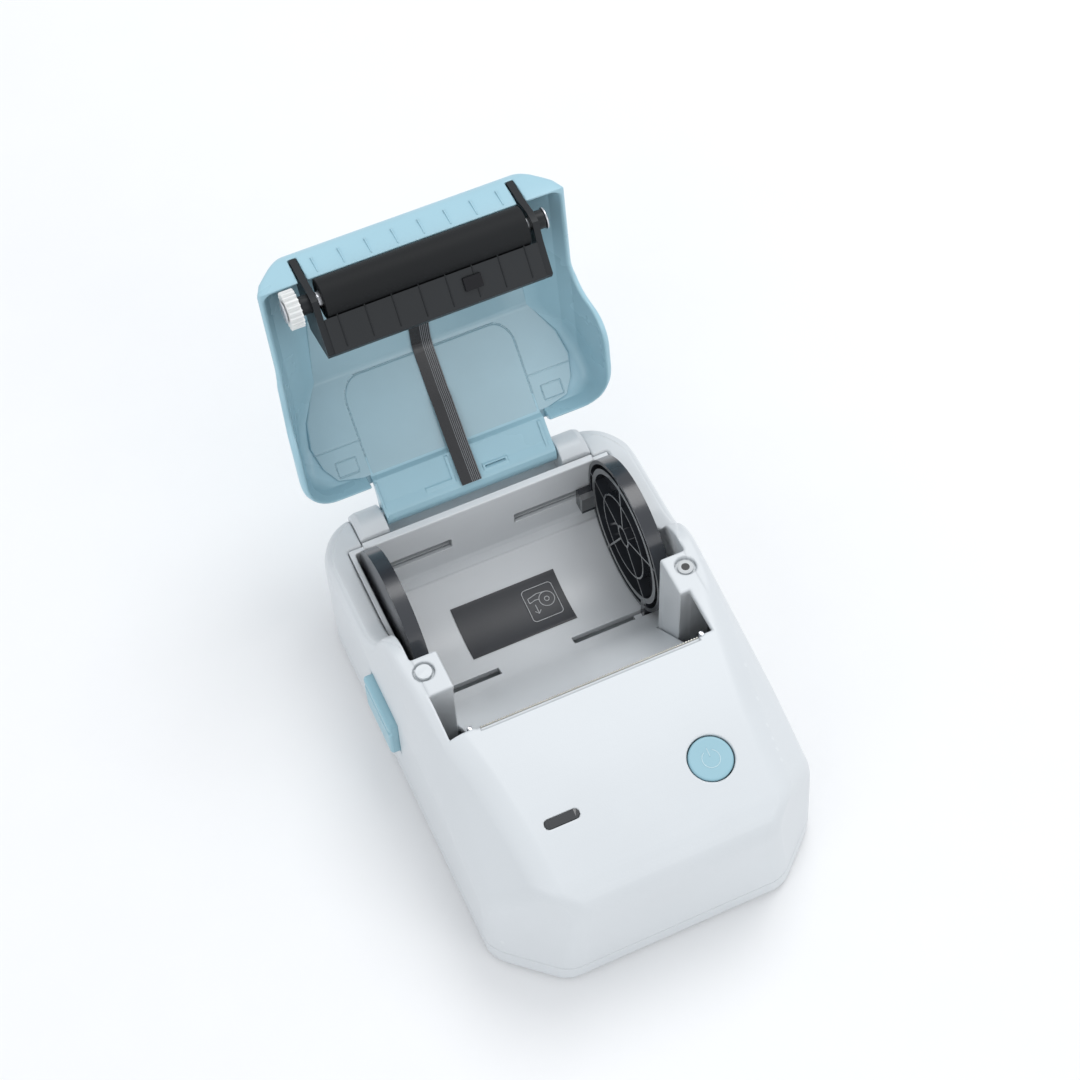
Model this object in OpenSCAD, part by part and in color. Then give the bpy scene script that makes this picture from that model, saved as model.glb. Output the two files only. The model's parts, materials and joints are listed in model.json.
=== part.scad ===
// Compact thermal label printer: a body with a roll bay, two centring media guides,
// a hinged lid that carries the platen roller, and the drive and latch inside.
// X runs to the right, Y to the back and Z up. The origin is on the ground under the
// middle of the footprint. The lid is drawn open.

/* [Body] */
// Width of the body across its sides
body_w = 84; // [84:1:88]
// Length of the body from front to back
body_l = 124; // [124:1:128]
// Height of the platform beside the platen
deck_z = 46; // [46:0.5:47]
// Height of the low rim around the roll bay
rim_z = 33; // [32.8:0.1:33]
// Wall thickness of the body shells
wall = 2; // [1.8:0.1:2.2]
// Height of the joint between base and top shell
seam_z = 6; // [5.5:0.5:6]

/* [Lid] */
// Height of the roof with the lid closed
roof_z = 57.5; // [57.5:0.5:59]
// Wall thickness of the lid
lid_wall = 1.6; // [1.4:0.1:1.6]
// Angle that the lid is drawn open
lid_open = 98; // [0:1:98]
// Hinge axis, distance behind the origin
hinge_y = 56; // [56:0.1:56.2]
// Hinge axis, height
hinge_z = 33.5; // [33.5:0.1:33.7]

/* [Roll bay] */
// Radius of the cradle that the roll lies in
cradle_r = 24.5; // [24.4:0.1:24.6]
// Radius of the media guide discs
guide_r = 20; // [19:0.5:20]
// Travel of each media guide
guide_travel = 16; // [10:1:16]
// How far the guides are drawn moved inwards
guide_in = 0; // [0:1:16]

/* [Print mechanism] */
// Radius of the rubber on the platen roller
rubber_r = 4.8; // [4.5:0.1:4.8]
// Length of the rubber
rubber_l = 50; // [48:1:50]
// Module of the drive gears
drive_m = 0.4; // [0.4:0.05:0.4]

/* [Controls] */
// Diameter of the power button
power_d = 10.4; // [9:0.1:11]
// Travel of the power button
power_travel = 0.8; // [0.5:0.1:1]
// Travel of the release button
release_travel = 1.5; // [1:0.1:1.5]

/* [Hidden] */

$fn = 64;
big = 200;
half_w = body_w / 2;
half_l = body_l / 2;
base_z = 0;            // underside of the base and of its feet
floor_z = 3;           // top of the base's floor
foot_z = 1.2;          // thickness of the rubber feet, which lie flush in the base
foot_r = 4;
foot_places = [for (x = [-30, 30], y = [-50, 46]) [x, y]];

// ---- colours
white = [0.93, 0.95, 0.96];
grey = [0.78, 0.80, 0.82];
blue = [0.58, 0.77, 0.83];
pale_blue = [0.66, 0.79, 0.84];
black = [0.09, 0.10, 0.12];
steel = [0.74, 0.75, 0.77];
board_green = [0.10, 0.36, 0.22];

// ---- outlines of the body
deck_flat_y = -2;      // where the deck starts to fall towards the front
deck_r = 186;          // radius of the deck's fall
nose_r = 10;           // radius of the front's upper edge
rear_r = 4.5;          // radius of the rear's upper edge
step_hi_y = 9.5;       // upper end of the step down to the low rim
step_lo_y = 29;        // lower end of the step
corner_r = 18;         // plan radius of the corners
foot_chamfer = 1.5;
nose_y = nose_r - half_l;
nose_z = deck_z - deck_r + sqrt(pow(deck_r - nose_r, 2) - pow(nose_y - deck_flat_y, 2));
nose_a = atan2(nose_z - deck_z + deck_r, nose_y - deck_flat_y);

function arc(cy, cz, r, a0, a1, n) =
    [for (i = [0:n]) let (a = a0 + (a1 - a0) * i / n) [cy + r * cos(a), cz + r * sin(a)]];

// Two equal arcs that step down from (y0, z0) to (y1, z1), level at both ends.
function step_down(y0, z0, y1, z1, n) =
    let (dy = (y1 - y0) / 2, dz = (z0 - z1) / 2, r = (dy * dy + dz * dz) / (2 * dz), a = asin(dy / r))
    concat(arc(y0, z0 - r, r, 90, 90 - a, n), arc(y1, z1 + r, r, 270 - a, 270, n));

// Side outline of the body, moved inwards by t.
function body_side(t) = concat(
    [[-half_l + t + foot_chamfer, base_z], [-half_l + t, base_z + foot_chamfer]],
    arc(nose_y, nose_z, nose_r - t, 180, nose_a, 8),
    arc(deck_flat_y, deck_z - deck_r, deck_r - t, nose_a, 90, 10),
    step_down(step_hi_y - t, deck_z - t, step_lo_y - t, rim_z - t, 8),
    arc(half_l - rear_r, rim_z - rear_r, rear_r - t, 90, 0, 6),
    [[half_l - t, base_z + foot_chamfer], [half_l - t - foot_chamfer, base_z]]);

// Cross outline of the body, moved inwards by t.
function body_cross(t) =
    let (w = half_w - t)
    [[-w + foot_chamfer, base_z], [-w, base_z + foot_chamfer], [-w, 12], [-w + 0.5, 30],
        [-w + 3.4, deck_z], [-w + 3.4, deck_z + 2], [w - 3.4, deck_z + 2], [w - 3.4, deck_z],
        [w - 0.5, 30], [w, 12], [w, base_z + foot_chamfer], [w - foot_chamfer, base_z]];

module plan_rounded(hw, y0, y1, r0, r1) {
    for (s = [-1, 1]) {
        translate([s * (hw - r0), y0 + r0]) circle(r0);
        translate([s * (hw - r1), y1 - r1]) circle(r1);
    }
    translate([-hw, y0 + r0]) square([2 * hw, y1 - y0 - r0 - r1]);
    translate([-hw + r0, y0]) square([2 * (hw - r0), r0 + 1]);
    translate([-hw + r1, y1 - r1 - 1]) square([2 * (hw - r1), r1 + 1]);
}

// Extrudes an outline of [y, z] points to both sides of the middle plane.
module across(points, hw) {
    rotate([90, 0, 90]) translate([0, 0, -hw]) linear_extrude(2 * hw) polygon(points);
}

// Extrudes an outline of [x, z] points along the body.
module along(points, y0, y1) {
    translate([0, y1, 0]) rotate([90, 0, 0]) linear_extrude(y1 - y0) polygon(points);
}

// Everything beyond the plane whose outward normal is n, d from the origin.
module beyond(n, d) {
    rotate([0, acos(n[2]), atan2(n[1], n[0])])
        translate([-big / 2, -big / 2, d]) cube([big, big, big / 2]);
}

function unit(v) = v / norm(v);

side_n = unit([0.784, -0.201, 0.588]);      // long facet beside the deck
side_d = 56.9;
front_n = unit([0.666, -0.742, 0.082]);     // facet at each front corner
front_d = 64.1;

module body_form(t) {
    difference() {
        intersection() {
            linear_extrude(big) plan_rounded(half_w - t, -half_l + t, half_l - t,
                corner_r - t, corner_r - t);
            across(body_side(t), half_w);
            along(body_cross(t), -half_l, half_l);
        }
        for (s = [0, 1]) mirror([s, 0, 0]) {
            beyond(side_n, side_d - t);
            beyond(front_n, front_d - t);
        }
    }
}

// A box given by its lowest and highest corners.
module box(a, b) {
    translate(a) cube(b - a);
}

// Does the same on both sides of the middle plane.
module both_sides() {
    children();
    mirror([1, 0, 0]) children();
}

// A round bar along X.
module bar(x0, x1, y, z, r) {
    translate([x0, y, z]) rotate([0, 90, 0]) cylinder(h = x1 - x0, r = r);
}

// ---- bay, throat and notches
bay_x = 35;
bay_y0 = 7.5;
bay_y1 = 50;
skirt = 1.5;
throat_x = 28.5;
throat_y = -15;
notch_y0 = -14.6;
notch_y1 = -3;
left_notch_x = 34.6;
right_notch_x = 31;
cap_x = 31;            // outer end of the hinge caps
cap_y0 = 52.2;
cap_y1 = 60;
shelf_z = 27;          // top of the shelf that the hinge caps stand on
pillar_screw = [33.2, 3.5];

// ---- screws
screw_places = [[31, -40], [-31, -40], [37.4, 30], [-37.4, 30]];
screw_r = 1;
screw_head_r = 1.9;
screw_head_z = 0.4;
boss_r = 2.4;

// ---- controls
deck_tilt = asin((42.3 + deck_flat_y) / deck_r);
power_at = [16.8, -42.3];
lens_at = [-19.6, -41.8];
lens_size = [8.5, 2.4];
release_y = [3.5, 19.5];
release_z = [14, 27];

function deck_height(y) = deck_z - deck_r + sqrt(deck_r * deck_r - pow(y - deck_flat_y, 2));

// Puts children on the deck at a place, with Z along the deck's normal.
module on_deck(at) {
    translate([at[0], at[1], deck_height(at[1])]) rotate([deck_tilt, 0, 0]) children();
}

// ---- lid, drawn closed and then turned open
slope_y = 28;          // where the roof turns down towards the hinge
slope_a = 38.2;
lid_front_y = -13.8;
lid_rear_y = 50.5;
lid_back_y = 48;       // inner face of the lid's back wall
lid_bend_r = 8;
lid_bend_y = slope_y - lid_bend_r * tan(slope_a / 2);
lid_rim_hi = deck_z + 0.5;
lid_rim_lo = rim_z + 0.8;
lip_z = [46.4, 53.5];
lid_half_w = half_w - 0.6;
lid_front_r = 7;       // plan radius of the lid's front corners
lid_rear_r = 15;       // plan radius of the lid's rear corners

module lid_place() {
    translate([0, hinge_y, hinge_z]) rotate([-lid_open, 0, 0])
        translate([0, -hinge_y, -hinge_z]) children();
}

function slope_z(y, t) = roof_z - (y - slope_y) * tan(slope_a) - t / cos(slope_a);

// Roof and slope, t inside the outer surface, from y0 to y1.
function roof_line(y0, y1, t) = concat([[y0, roof_z - t]],
    arc(lid_bend_y, roof_z - lid_bend_r, lid_bend_r - t, 90, 90 - slope_a, 5), [[y1, slope_z(y1, t)]]);

function reversed(v) = [for (i = [len(v) - 1:-1:0]) v[i]];

function lid_side() = concat(
    [[lid_front_y + 1.3, lip_z[0]], [lid_front_y, lip_z[1]]],
    arc(lid_front_y + 4, lip_z[1], 4, 180, 90, 5),
    roof_line(0, lid_rear_y, 0),
    arc(lid_rear_y - 6.5, lid_rim_lo + 6, 6, 0, -90, 6),
    reversed(step_down(step_hi_y + 0.5, lid_rim_hi, step_lo_y + 0.5, lid_rim_lo, 8)));

function lid_inside() = concat(
    [[lid_front_y + lid_wall, 20]],
    arc(lid_front_y + 4, lip_z[1], 4 - lid_wall, 180, 90, 4),
    roof_line(0, lid_back_y, lid_wall),
    [[lid_back_y, 20]]);

function lid_cross(t) =
    let (w = lid_half_w - t, lean = tan(38) * t)
    [[-w, 20], [-w, rim_z], [-w + 2.8, deck_z], [-w + 4.9, 50], [-w + 12.4 + lean - t, roof_z - t],
        [w - 12.4 - lean + t, roof_z - t], [w - 4.9, 50], [w - 2.8, deck_z], [w, rim_z], [w, 20]];

module lid_outer() {
    intersection() {
        across(lid_side(), half_w);
        along(lid_cross(0), -half_l, half_l);
        linear_extrude(big) plan_rounded(lid_half_w, lid_front_y, lid_rear_y, lid_front_r, lid_rear_r);
    }
}

// ---- print mechanism
roller_y = -10;
roller_z = 41.5;
shaft_r = 2;
journal_r = 1.5;
bush_r = 2.25;
plate_x = [26.2, 27.8];
head_x = 26;
head_y = -15.1;
head_z = [33.6, 42.8];

// Gear centres as [y, z], with the tooth counts.
platen_teeth = 21;
idler_teeth = 24;
transfer_teeth = 36;
pinion_teeth = 12;
gear_x = [-33.4, -30.3];
idler_at = [-16, 33.5];
transfer_at = [-25.04, 25.6];
motor_at = [-31.6, 18.59];

function direction(a, b) = atan2(b[1] - a[1], b[0] - a[0]);

// Angle that puts a gap of gear b on the line of centres where gear a, with a tooth
// at angle a0, comes to it.
function mesh_angle(a0, na, nb, line) = line + 180 + (0.5 - (a0 - line) * na / 360) * 360 / nb;

transfer_phase = 0;
idler_phase = mesh_angle(0, transfer_teeth, idler_teeth, direction(transfer_at, idler_at));
pinion_phase = mesh_angle(0, transfer_teeth, pinion_teeth, direction(transfer_at, motor_at));

function polar(r, a) = [r * cos(a), r * sin(a)];

// A spur gear with straight-sided teeth, in the plane of its own X and Y.
module spur(n, m, h, bore, phase) {
    pitch = n * m / 2;
    tip = pitch + 0.85 * m;
    root = pitch - 1.15 * m;
    foot_a = 360 / n * 0.27;
    tip_a = 360 / n * 0.11;
    teeth = [for (i = [0:n - 1]) let (a = phase + 360 * i / n)
        each [polar(root, a - foot_a), polar(tip, a - tip_a),
            polar(tip, a + tip_a), polar(root, a + foot_a)]];
    difference() {
        linear_extrude(h) polygon(teeth);
        translate([0, 0, -1]) cylinder(h = h + 2, r = bore);
    }
}

// A spur gear on an axle along X; its own X becomes Y and its own Y becomes Z.
module side_gear(at, n, bore, phase) {
    translate([gear_x[0], at[0], at[1]]) rotate([90, 0, 90])
        spur(n, drive_m, gear_x[1] - gear_x[0], bore, phase);
}

// ---- body parts
module base_shell() {
    color(white) difference() {
        union() {
            intersection() {
                difference() {
                    body_form(0);
                    difference() {
                        body_form(wall);
                        box([-half_w, -half_l, 0], [half_w, half_l, floor_z]);
                    }
                }
                box([-half_w, -half_l, 0], [half_w, half_l, seam_z]);
            }
            for (p = screw_places) translate([p[0], p[1], floor_z - 0.5])
                cylinder(h = seam_z - floor_z + 0.5, r = boss_r);
            translate([0, guide_pinion_y, floor_z - 0.5]) cylinder(h = 3.6, r = 1.45);
        }
        for (p = screw_places) translate([p[0], p[1], -1]) {
            cylinder(h = 20, r = screw_r + 0.15);
            cylinder(h = 1 + screw_head_z + 1.2, r = screw_head_r + 0.2);
        }
        for (p = foot_places) translate([p[0], p[1], -1]) cylinder(h = 1 + foot_z, r = foot_r);
    }
}

module feet() {
    color(black) for (p = foot_places) translate([p[0], p[1], 0]) cylinder(h = foot_z, r = foot_r);
}

module case_screws() {
    color(steel) for (p = screw_places) translate([p[0], p[1], screw_head_z]) {
        cylinder(h = 1.2, r = screw_head_r);
        translate([0, 0, 1.2]) cylinder(h = 8, r = screw_r);
    }
}

module top_shell() {
    color(white) difference() {
        intersection() {
            union() {
                difference() {
                    body_form(0);
                    body_form(wall);
                }
                intersection() {
                    body_form(0.5);
                    top_inner();
                }
            }
            box([-half_w, -half_l, seam_z], [half_w, half_l, big]);
        }
        top_openings();
    }
}

// Skirt of the bay, pillars, hinge shelf and screw bosses.
module top_inner() {
    box([-bay_x - skirt, bay_y0 - wall, 8], [bay_x + skirt, bay_y1 + skirt, deck_z]);
    both_sides() difference() {
        box([throat_x, -3, 16], [bay_x + skirt, bay_y0, deck_z]);
        box([throat_x + wall, -1, 10], [bay_x - wall, bay_y0 - wall, deck_z - wall]);
    }
    box([-cap_x - 2, bay_y1, shelf_z - 2], [cap_x + 2, half_l - 1, shelf_z]);
    for (p = screw_places) translate([p[0], p[1], seam_z]) cylinder(h = 12, r = boss_r);
    // rib that the head's springs push against
    box([-20, spring_wall_y - 1.5, 33], [20, spring_wall_y, deck_z]);
}

module top_openings() {
    box([-bay_x, bay_y0, 0], [bay_x, bay_y1, big]);
    box([-cap_x, bay_y1 - 2, shelf_z], [cap_x, cap_y1 + 0.1, big]);
    box([-throat_x, throat_y, 0], [throat_x, bay_y0 + 1, big]);
    box([-left_notch_x, notch_y0, 10], [-throat_x + 1, notch_y1, big]);
    box([throat_x - 1, notch_y0, 10], [right_notch_x, notch_y1, big]);
    for (p = screw_places) translate([p[0], p[1], 0]) cylinder(h = 11, r = screw_r);
    both_sides() translate([pillar_screw[0], pillar_screw[1], 0]) {
        translate([0, 0, deck_z - 1.4]) cylinder(h = 5, r = 2.6);
        cylinder(h = big, r = screw_r);
    }
    on_deck(power_at) translate([0, 0, -10]) cylinder(h = 20, r = power_d / 2 + 0.3);
    on_deck(lens_at) translate([0, 0, -10]) pill(lens_size, 20);
    box([-half_w - 2, release_y[0] - 0.3, release_z[0] - 0.3],
        [-bay_x - skirt - 1, release_y[1] + 0.3, release_z[1] + 0.3]);
    // channels in the skirt for the guides' rear tongues
    both_sides() box([rear_slot_x[0], bay_y1 - 1, rear_slot_z[0]],
        [rear_slot_x[1], bay_y1 + 3, rear_slot_z[1]]);
    // socket opening in the back wall
    translate([usb_x, half_l + 5, usb_z]) rotate([90, 0, 0]) pill([9.4, 3.6], 10);
}

// A bar with round ends, centred, size = [length, width].
module pill(size, h) {
    r = size[1] / 2;
    for (s = [-1, 1]) translate([s * (size[0] / 2 - r), 0, 0]) cylinder(h = h, r = r);
    translate([-size[0] / 2 + r, -r, 0]) cube([size[0] - 2 * r, size[1], h]);
}

// ---- paper bin
cradle_y = 28;
cradle_z = 30;
bin_x = 34.8;
bin_side = 1.4;
bin_wall = 1.8;
bin_rear_y = 48.6;
bin_front_x = 28.2;
fillet_r = 5;
ramp_end = [-8.5, 31.9];
bin_tip = [-14.4, 33.2];

// Upper surface of the bin from the front to the rear wall, t below it.
function bin_floor(t) = concat(
    [[bin_tip[0], bin_tip[1] - t], [ramp_end[0], ramp_end[1] - 1.2 * t]],
    arc(cradle_y, cradle_z, cradle_r + t, 225, 315, 14),
    arc(bin_rear_y - fillet_r, 17.9, fillet_r + t, 300, 360, 4));

bin_back_y = 49.8;     // back face of the bin's rear wall
beam_y = 50.7;         // back edge of the beam along the bin's rear rim
beam_h = 1.6;
front_slot_x = [10, 32.2];
front_slot_y = [15.8, 18.4];
rear_slot_x = [8.6, 32.2];
rear_slot_z = [19.4, 22.8];

module paper_bin() {
    color(grey) difference() {
        intersection() {
            across(concat(bin_floor(bin_wall), [[bin_rear_y + bin_wall, rim_z - beam_h],
                [beam_y, rim_z - beam_h], [beam_y, 40], [bin_tip[0], 40]]), bin_x);
            union() {
                box([-bin_x, bay_y0 + 0.3, 0], [bin_x, bin_back_y, rim_z - 0.4]);
                box([-bin_front_x, -20, 0], [bin_front_x, bay_y0 + 1, 40]);
                box([-cap_x + 0.2, bin_rear_y - 1, rim_z - beam_h], [cap_x - 0.2, beam_y, rim_z]);
            }
        }
        across(concat(bin_floor(0), [[bin_rear_y, 60], [bin_tip[0] - 9, 60], [bin_tip[0] - 9, bin_tip[1]]]),
            bin_x - bin_side);
        both_sides() {
            box([front_slot_x[0], front_slot_y[0], 0], [front_slot_x[1], front_slot_y[1], 14]);
            box([rear_slot_x[0], bin_rear_y - 4, rear_slot_z[0]],
                [rear_slot_x[1], bin_rear_y + 5, rear_slot_z[1]]);
        }
    }
}

label_x = 14.2;
label_y = [24, 38.6];

module bin_label() {
    color([0.24, 0.24, 0.26]) difference() {
        intersection() {
            bar(-label_x, label_x, cradle_y, cradle_z, cradle_r - 0.05);
            box([-label_x, label_y[0], 0], [label_x, label_y[1], 14]);
        }
        bar(-label_x - 1, label_x + 1, cradle_y, cradle_z, cradle_r - 0.2);
    }
}

// ---- hinge
cap_r = 4;
barrel_r = 3;
barrel_x = 22.8;
pin_r = 1;

module hinge_caps() {
    color(white) both_sides() difference() {
        union() {
            bar(barrel_x + 0.5, cap_x - 0.2, hinge_y, hinge_z, cap_r - 0.3);
            box([barrel_x + 0.5, cap_y0, shelf_z], [cap_x - 0.2, cap_y1, hinge_z]);
        }
        bar(barrel_x, cap_x - 2, hinge_y, hinge_z, pin_r);
    }
}

module hinge_pins() {
    color(steel) both_sides() bar(barrel_x - 5, cap_x - 2, hinge_y, hinge_z, pin_r);
}

// ---- print head, tear bar and springs
module tear_bar() {
    pitch = 0.7;
    count = 78;
    top = 45.4;
    foot = 43.4;
    depth = 0.45;
    thick = 0.3;
    half = pitch * count / 2;
    teeth = [for (i = [0:count - 1])
        each [[pitch * i - half, top - depth], [pitch * (i + 0.5) - half, top]]];
    color(steel) translate([0, throat_y + thick, 0]) rotate([90, 0, 0]) linear_extrude(thick)
        polygon(concat(teeth, [[half, top - depth], [half, foot], [-half, foot]]));
}

module print_head() {
    color([0.30, 0.25, 0.22]) {
        box([-head_x, head_y - 1, head_z[0]], [head_x, head_y, head_z[1]]);
        box([-24.5, head_y, 41.2], [24.5, head_y + 0.08, 41.8]);
    }
}

module head_heatsink() {
    color(steel) {
        box([-head_x - 1, head_y - 3.4, 30], [head_x + 1, head_y - 1, head_z[1]]);
        both_sides() box([22, head_y - 7, 30], [23.5, head_y - 3.4, 36]);
    }
}

spring_x = [-14, 14];
spring_wall_y = -24;

// Close-wound coil springs behind the heatsink.
module head_springs() {
    turns = 7;
    span = head_y - 3.4 - spring_wall_y;
    pitch = span / turns;
    color(steel) for (x = spring_x) translate([x, spring_wall_y, 38]) rotate([-90, 0, 0])
        rotate_extrude() polygon(concat([[1.5, 0]],
            [for (i = [0:turns - 1]) each [[1.9, pitch * i], [2.4, pitch * (i + 0.5)]]],
            [[1.9, span], [1.5, span]]));
}

// ---- electronics and drive
usb_x = 18;
usb_z = 9.5;

module main_board() {
    color(board_green) {
        difference() {
            box([-33, -54, 5.2], [33, -18, 6.4]);
            for (p = screw_places) translate([p[0], p[1], 0]) cylinder(h = 10, r = boss_r + 0.3);
        }
        box([-20, -50, 6.4], [-10, -40, 7.6]);
    }
}

module battery() {
    color([0.25, 0.42, 0.62]) box([-6, -54, 8.5], [28.2, -26, 18.5]);
}

module port_board() {
    color(board_green) box([8, 52.6, 6.6], [26, 59.6, 7.6]);
}

module usb_port() {
    color(steel) difference() {
        translate([usb_x, half_l - 0.6, usb_z]) rotate([90, 0, 0]) pill([8.9, 3.2], 7.4);
        translate([usb_x, half_l, usb_z]) rotate([90, 0, 0]) pill([8.3, 2.6], 6);
    }
}

module drive_motor() {
    color(steel) {
        bar(-27.2, -12, motor_at[0], motor_at[1], 10);
        bar(-12, -11, motor_at[0], motor_at[1], 4);
    }
}

plate_t = [-28.2, -27.2];

module gear_plate() {
    color(steel) difference() {
        union() {
            box([plate_t[0], -42, 7.5], [plate_t[1], -14.6, 31]);
            box([plate_t[0], -24, 31], [plate_t[1], -14.6, 37.5]);
        }
        bar(-30, -20, motor_at[0], motor_at[1], 2);
        box([plate_t[0] - 1, -18.6, 29], [plate_t[1] + 1, -14, 31.4]);
    }
}

module gear_posts() {
    color(steel) for (at = [idler_at, transfer_at]) bar(gear_x[0] - 0.6, plate_t[0], at[0], at[1], 1);
}

module indicator_lens() {
    color([0.28, 0.29, 0.31]) on_deck(lens_at) translate([0, 0, -2.6]) {
        pill([lens_size[0] - 0.2, lens_size[1] - 0.2], 2.5);
        translate([0, 0, -0.8]) pill([lens_size[0] + 2, lens_size[1] + 2], 0.8);
    }
}

module control_board() {
    color(board_green) on_deck([0, -42.3]) box([-26, -6, -9.4], [26, 6, -8.4]);
}

module power_switch() {
    color(black) on_deck(power_at) {
        box([-3, -3, -8.4], [3, 3, -5.9]);
        translate([0, 0, -5.9]) cylinder(h = 0.9, r = 1.7);
    }
}

module pillar_screws() {
    color([0.2, 0.2, 0.22]) both_sides() translate([pillar_screw[0], pillar_screw[1], deck_z - 1.4]) {
        cylinder(h = 0.7, r = 1.9);
        translate([0, 0, -5]) cylinder(h = 5, r = screw_r);
    }
}

module screw_plug() {
    color(white) translate([-pillar_screw[0], pillar_screw[1], deck_z - 0.7]) cylinder(h = 0.6, r = 1.9);
}

// ---- lid parts
module lid_shell() {
    color(blue) lid_place() difference() {
        lid_outer();
        intersection() {
            across(lid_inside(), half_w);
            along(lid_cross(lid_wall), -half_l, half_l);
            linear_extrude(big) plan_rounded(lid_half_w - lid_wall, lid_front_y + lid_wall, lid_back_y,
                lid_front_r - lid_wall, lid_rear_r - 5);
        }
        both_sides() box([plate_x[0] - 0.2, lid_front_y - 2, 40],
            [plate_x[1] + 0.2, lid_front_y + 4, lip_z[1] + 0.2]);
        across([[46.5, 20], [46.5, slope_z(46.5, lid_wall)], [53, slope_z(53, lid_wall)], [53, 20]], 23.8);
    }
}

panel_t = lid_wall + 0.8;
panel_edge = [[24, 4], [26, 7], [27.8, 24], [32.4, 34], [33, 40], [31, 44], [27, 45.6]];

module lid_panel() {
    color(pale_blue) lid_place() intersection() {
        across(concat(roof_line(5, 46, lid_wall), reversed(roof_line(5, 46, panel_t))), 34);
        linear_extrude(big) difference() {
            polygon(concat(panel_edge, [for (p = reversed(panel_edge)) [-p[0], p[1]]]));
            translate([-barrel_x - 1.2, 37.8]) square([2 * barrel_x + 2.4, 20]);
        }
        along(lid_cross(lid_wall + 0.5), -half_l, half_l);
    }
}

module hinge_plate() {
    color(blue) lid_place() difference() {
        union() {
            across([[38, slope_z(38, lid_wall)], [lid_rear_y, slope_z(lid_rear_y, lid_wall)],
                [hinge_y, hinge_z + barrel_r - 0.2], [hinge_y, hinge_z],
                [hinge_y - 1.5, hinge_z - barrel_r + 0.8], [46.8, 38.4],
                [38, slope_z(38, lid_wall + 1.4)]], barrel_x);
            bar(-barrel_x, barrel_x, hinge_y, hinge_z, barrel_r);
        }
        both_sides() bar(barrel_x - 6, barrel_x + 1, hinge_y, hinge_z, pin_r + 0.05);
    }
}

// Black bracket: end plates, sensor panel and the web up to the roof.
module platen_bracket() {
    web = [[-1, 33.4], [0.5, 33.4], [3.4, 44], [3.4, roof_z - lid_wall], [1.9, roof_z - lid_wall],
        [1.9, 44.2]];
    panel = [[-9.8, 38.6], [-9.2, 37.2], [-1, 32.4], [0.5, 33.4], [-0.6, 34.2]];
    plate = [[-13.2, 46.6], [-13.6, 53.4], [-11.6, 53.6], [-8, 50], [1.9, 46], [0.5, 33.4], [-1, 32.6],
        [-8, 36.8], [-12.6, 38.4], [-13.4, 41.5]];
    color(black) lid_place() {
        difference() {
            both_sides() rotate([90, 0, 90]) translate([0, 0, plate_x[0]])
                linear_extrude(plate_x[1] - plate_x[0]) polygon(plate);
            bar(-40, 40, roller_y, roller_z, bush_r);
        }
        difference() {
            across(panel, plate_x[0]);
            bar(-40, 40, roller_y, roller_z, rubber_r + 0.4);
        }
        intersection() {
            across(web, plate_x[0]);
            union() {
                box([-plate_x[0], -20, 30], [plate_x[0], 20, 45]);
                both_sides() box([6, -20, 30], [22, 20, 60]);
            }
        }
        both_sides() box([8, 3.4, roof_z - lid_wall - 1.6], [20, 4.9, roof_z - lid_wall]);
    }
}

module bracket_screws() {
    color(steel) lid_place() both_sides() translate([14, 1.9, 50]) rotate([90, 0, 0])
        cylinder(h = 1, r = 1.9);
}

module gap_sensor() {
    color([0.16, 0.16, 0.2]) lid_place() translate([9, -5.1, 35]) rotate([-30.3, 0, 0])
        box([-2.2, -1.6, -0.75], [2.2, 1.6, -0.2]);
}

ribbon_x = 2.6;
ribbon_t = 0.3;

// Flat flex cable from the bracket along the roof and slope to the hinge barrel.
module sensor_ribbon() {
    outer = concat([[3.6, 46]], [[3.6, roof_z - panel_t - 0.9], [4.4, roof_z - panel_t - 0.1]],
        roof_line(6, 36.6, panel_t + 0.1),
        [[38, slope_z(38, lid_wall + 1.5)], [46.6, 38.2], [hinge_y - 2.2, hinge_z - barrel_r + 0.3]]);
    inner = [for (i = [0:len(outer) - 1]) outer[i] + ribbon_t * (i < 2 ? [1, 0] : [-0.3, -1])];
    color(black) lid_place() across(concat(outer, reversed(inner)), ribbon_x);
}

module platen_bushes() {
    color(black) lid_place() both_sides() difference() {
        bar(plate_x[0], 30, roller_y, roller_z, bush_r);
        bar(20, 40, roller_y, roller_z, journal_r + 0.05);
    }
}

module platen_shaft() {
    color(steel) lid_place() {
        bar(-rubber_l / 2 - 0.8, rubber_l / 2 + 0.8, roller_y, roller_z, shaft_r);
        bar(-34, 30.6, roller_y, roller_z, journal_r);
    }
}

module platen_rubber() {
    color(black) lid_place() difference() {
        bar(-rubber_l / 2, rubber_l / 2, roller_y, roller_z, rubber_r);
        bar(-rubber_l, rubber_l, roller_y, roller_z, shaft_r);
    }
}

module platen_gear() {
    color([0.92, 0.92, 0.9]) lid_place() side_gear([roller_y, roller_z], platen_teeth, journal_r, 0);
}

module shaft_clips() {
    color(steel) lid_place() for (x = [-34, 30.1]) difference() {
        bar(x, x + 0.4, roller_y, roller_z, 2.6);
        bar(x - 1, x + 1, roller_y, roller_z, journal_r);
    }
}

// ---- media guides
guide_x = [29, 32.6];
guide_y = 28.3;
guide_z = 27.2;
rack_m = 0.5;
guide_pinion_teeth = 16;
guide_pinion_y = 9;
rack_pitch = PI * rack_m;
rack_z = [3.2, 5.2];
bridge_z = [5.4, 6.4];   // level at which a slider crosses over the other rack

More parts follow.
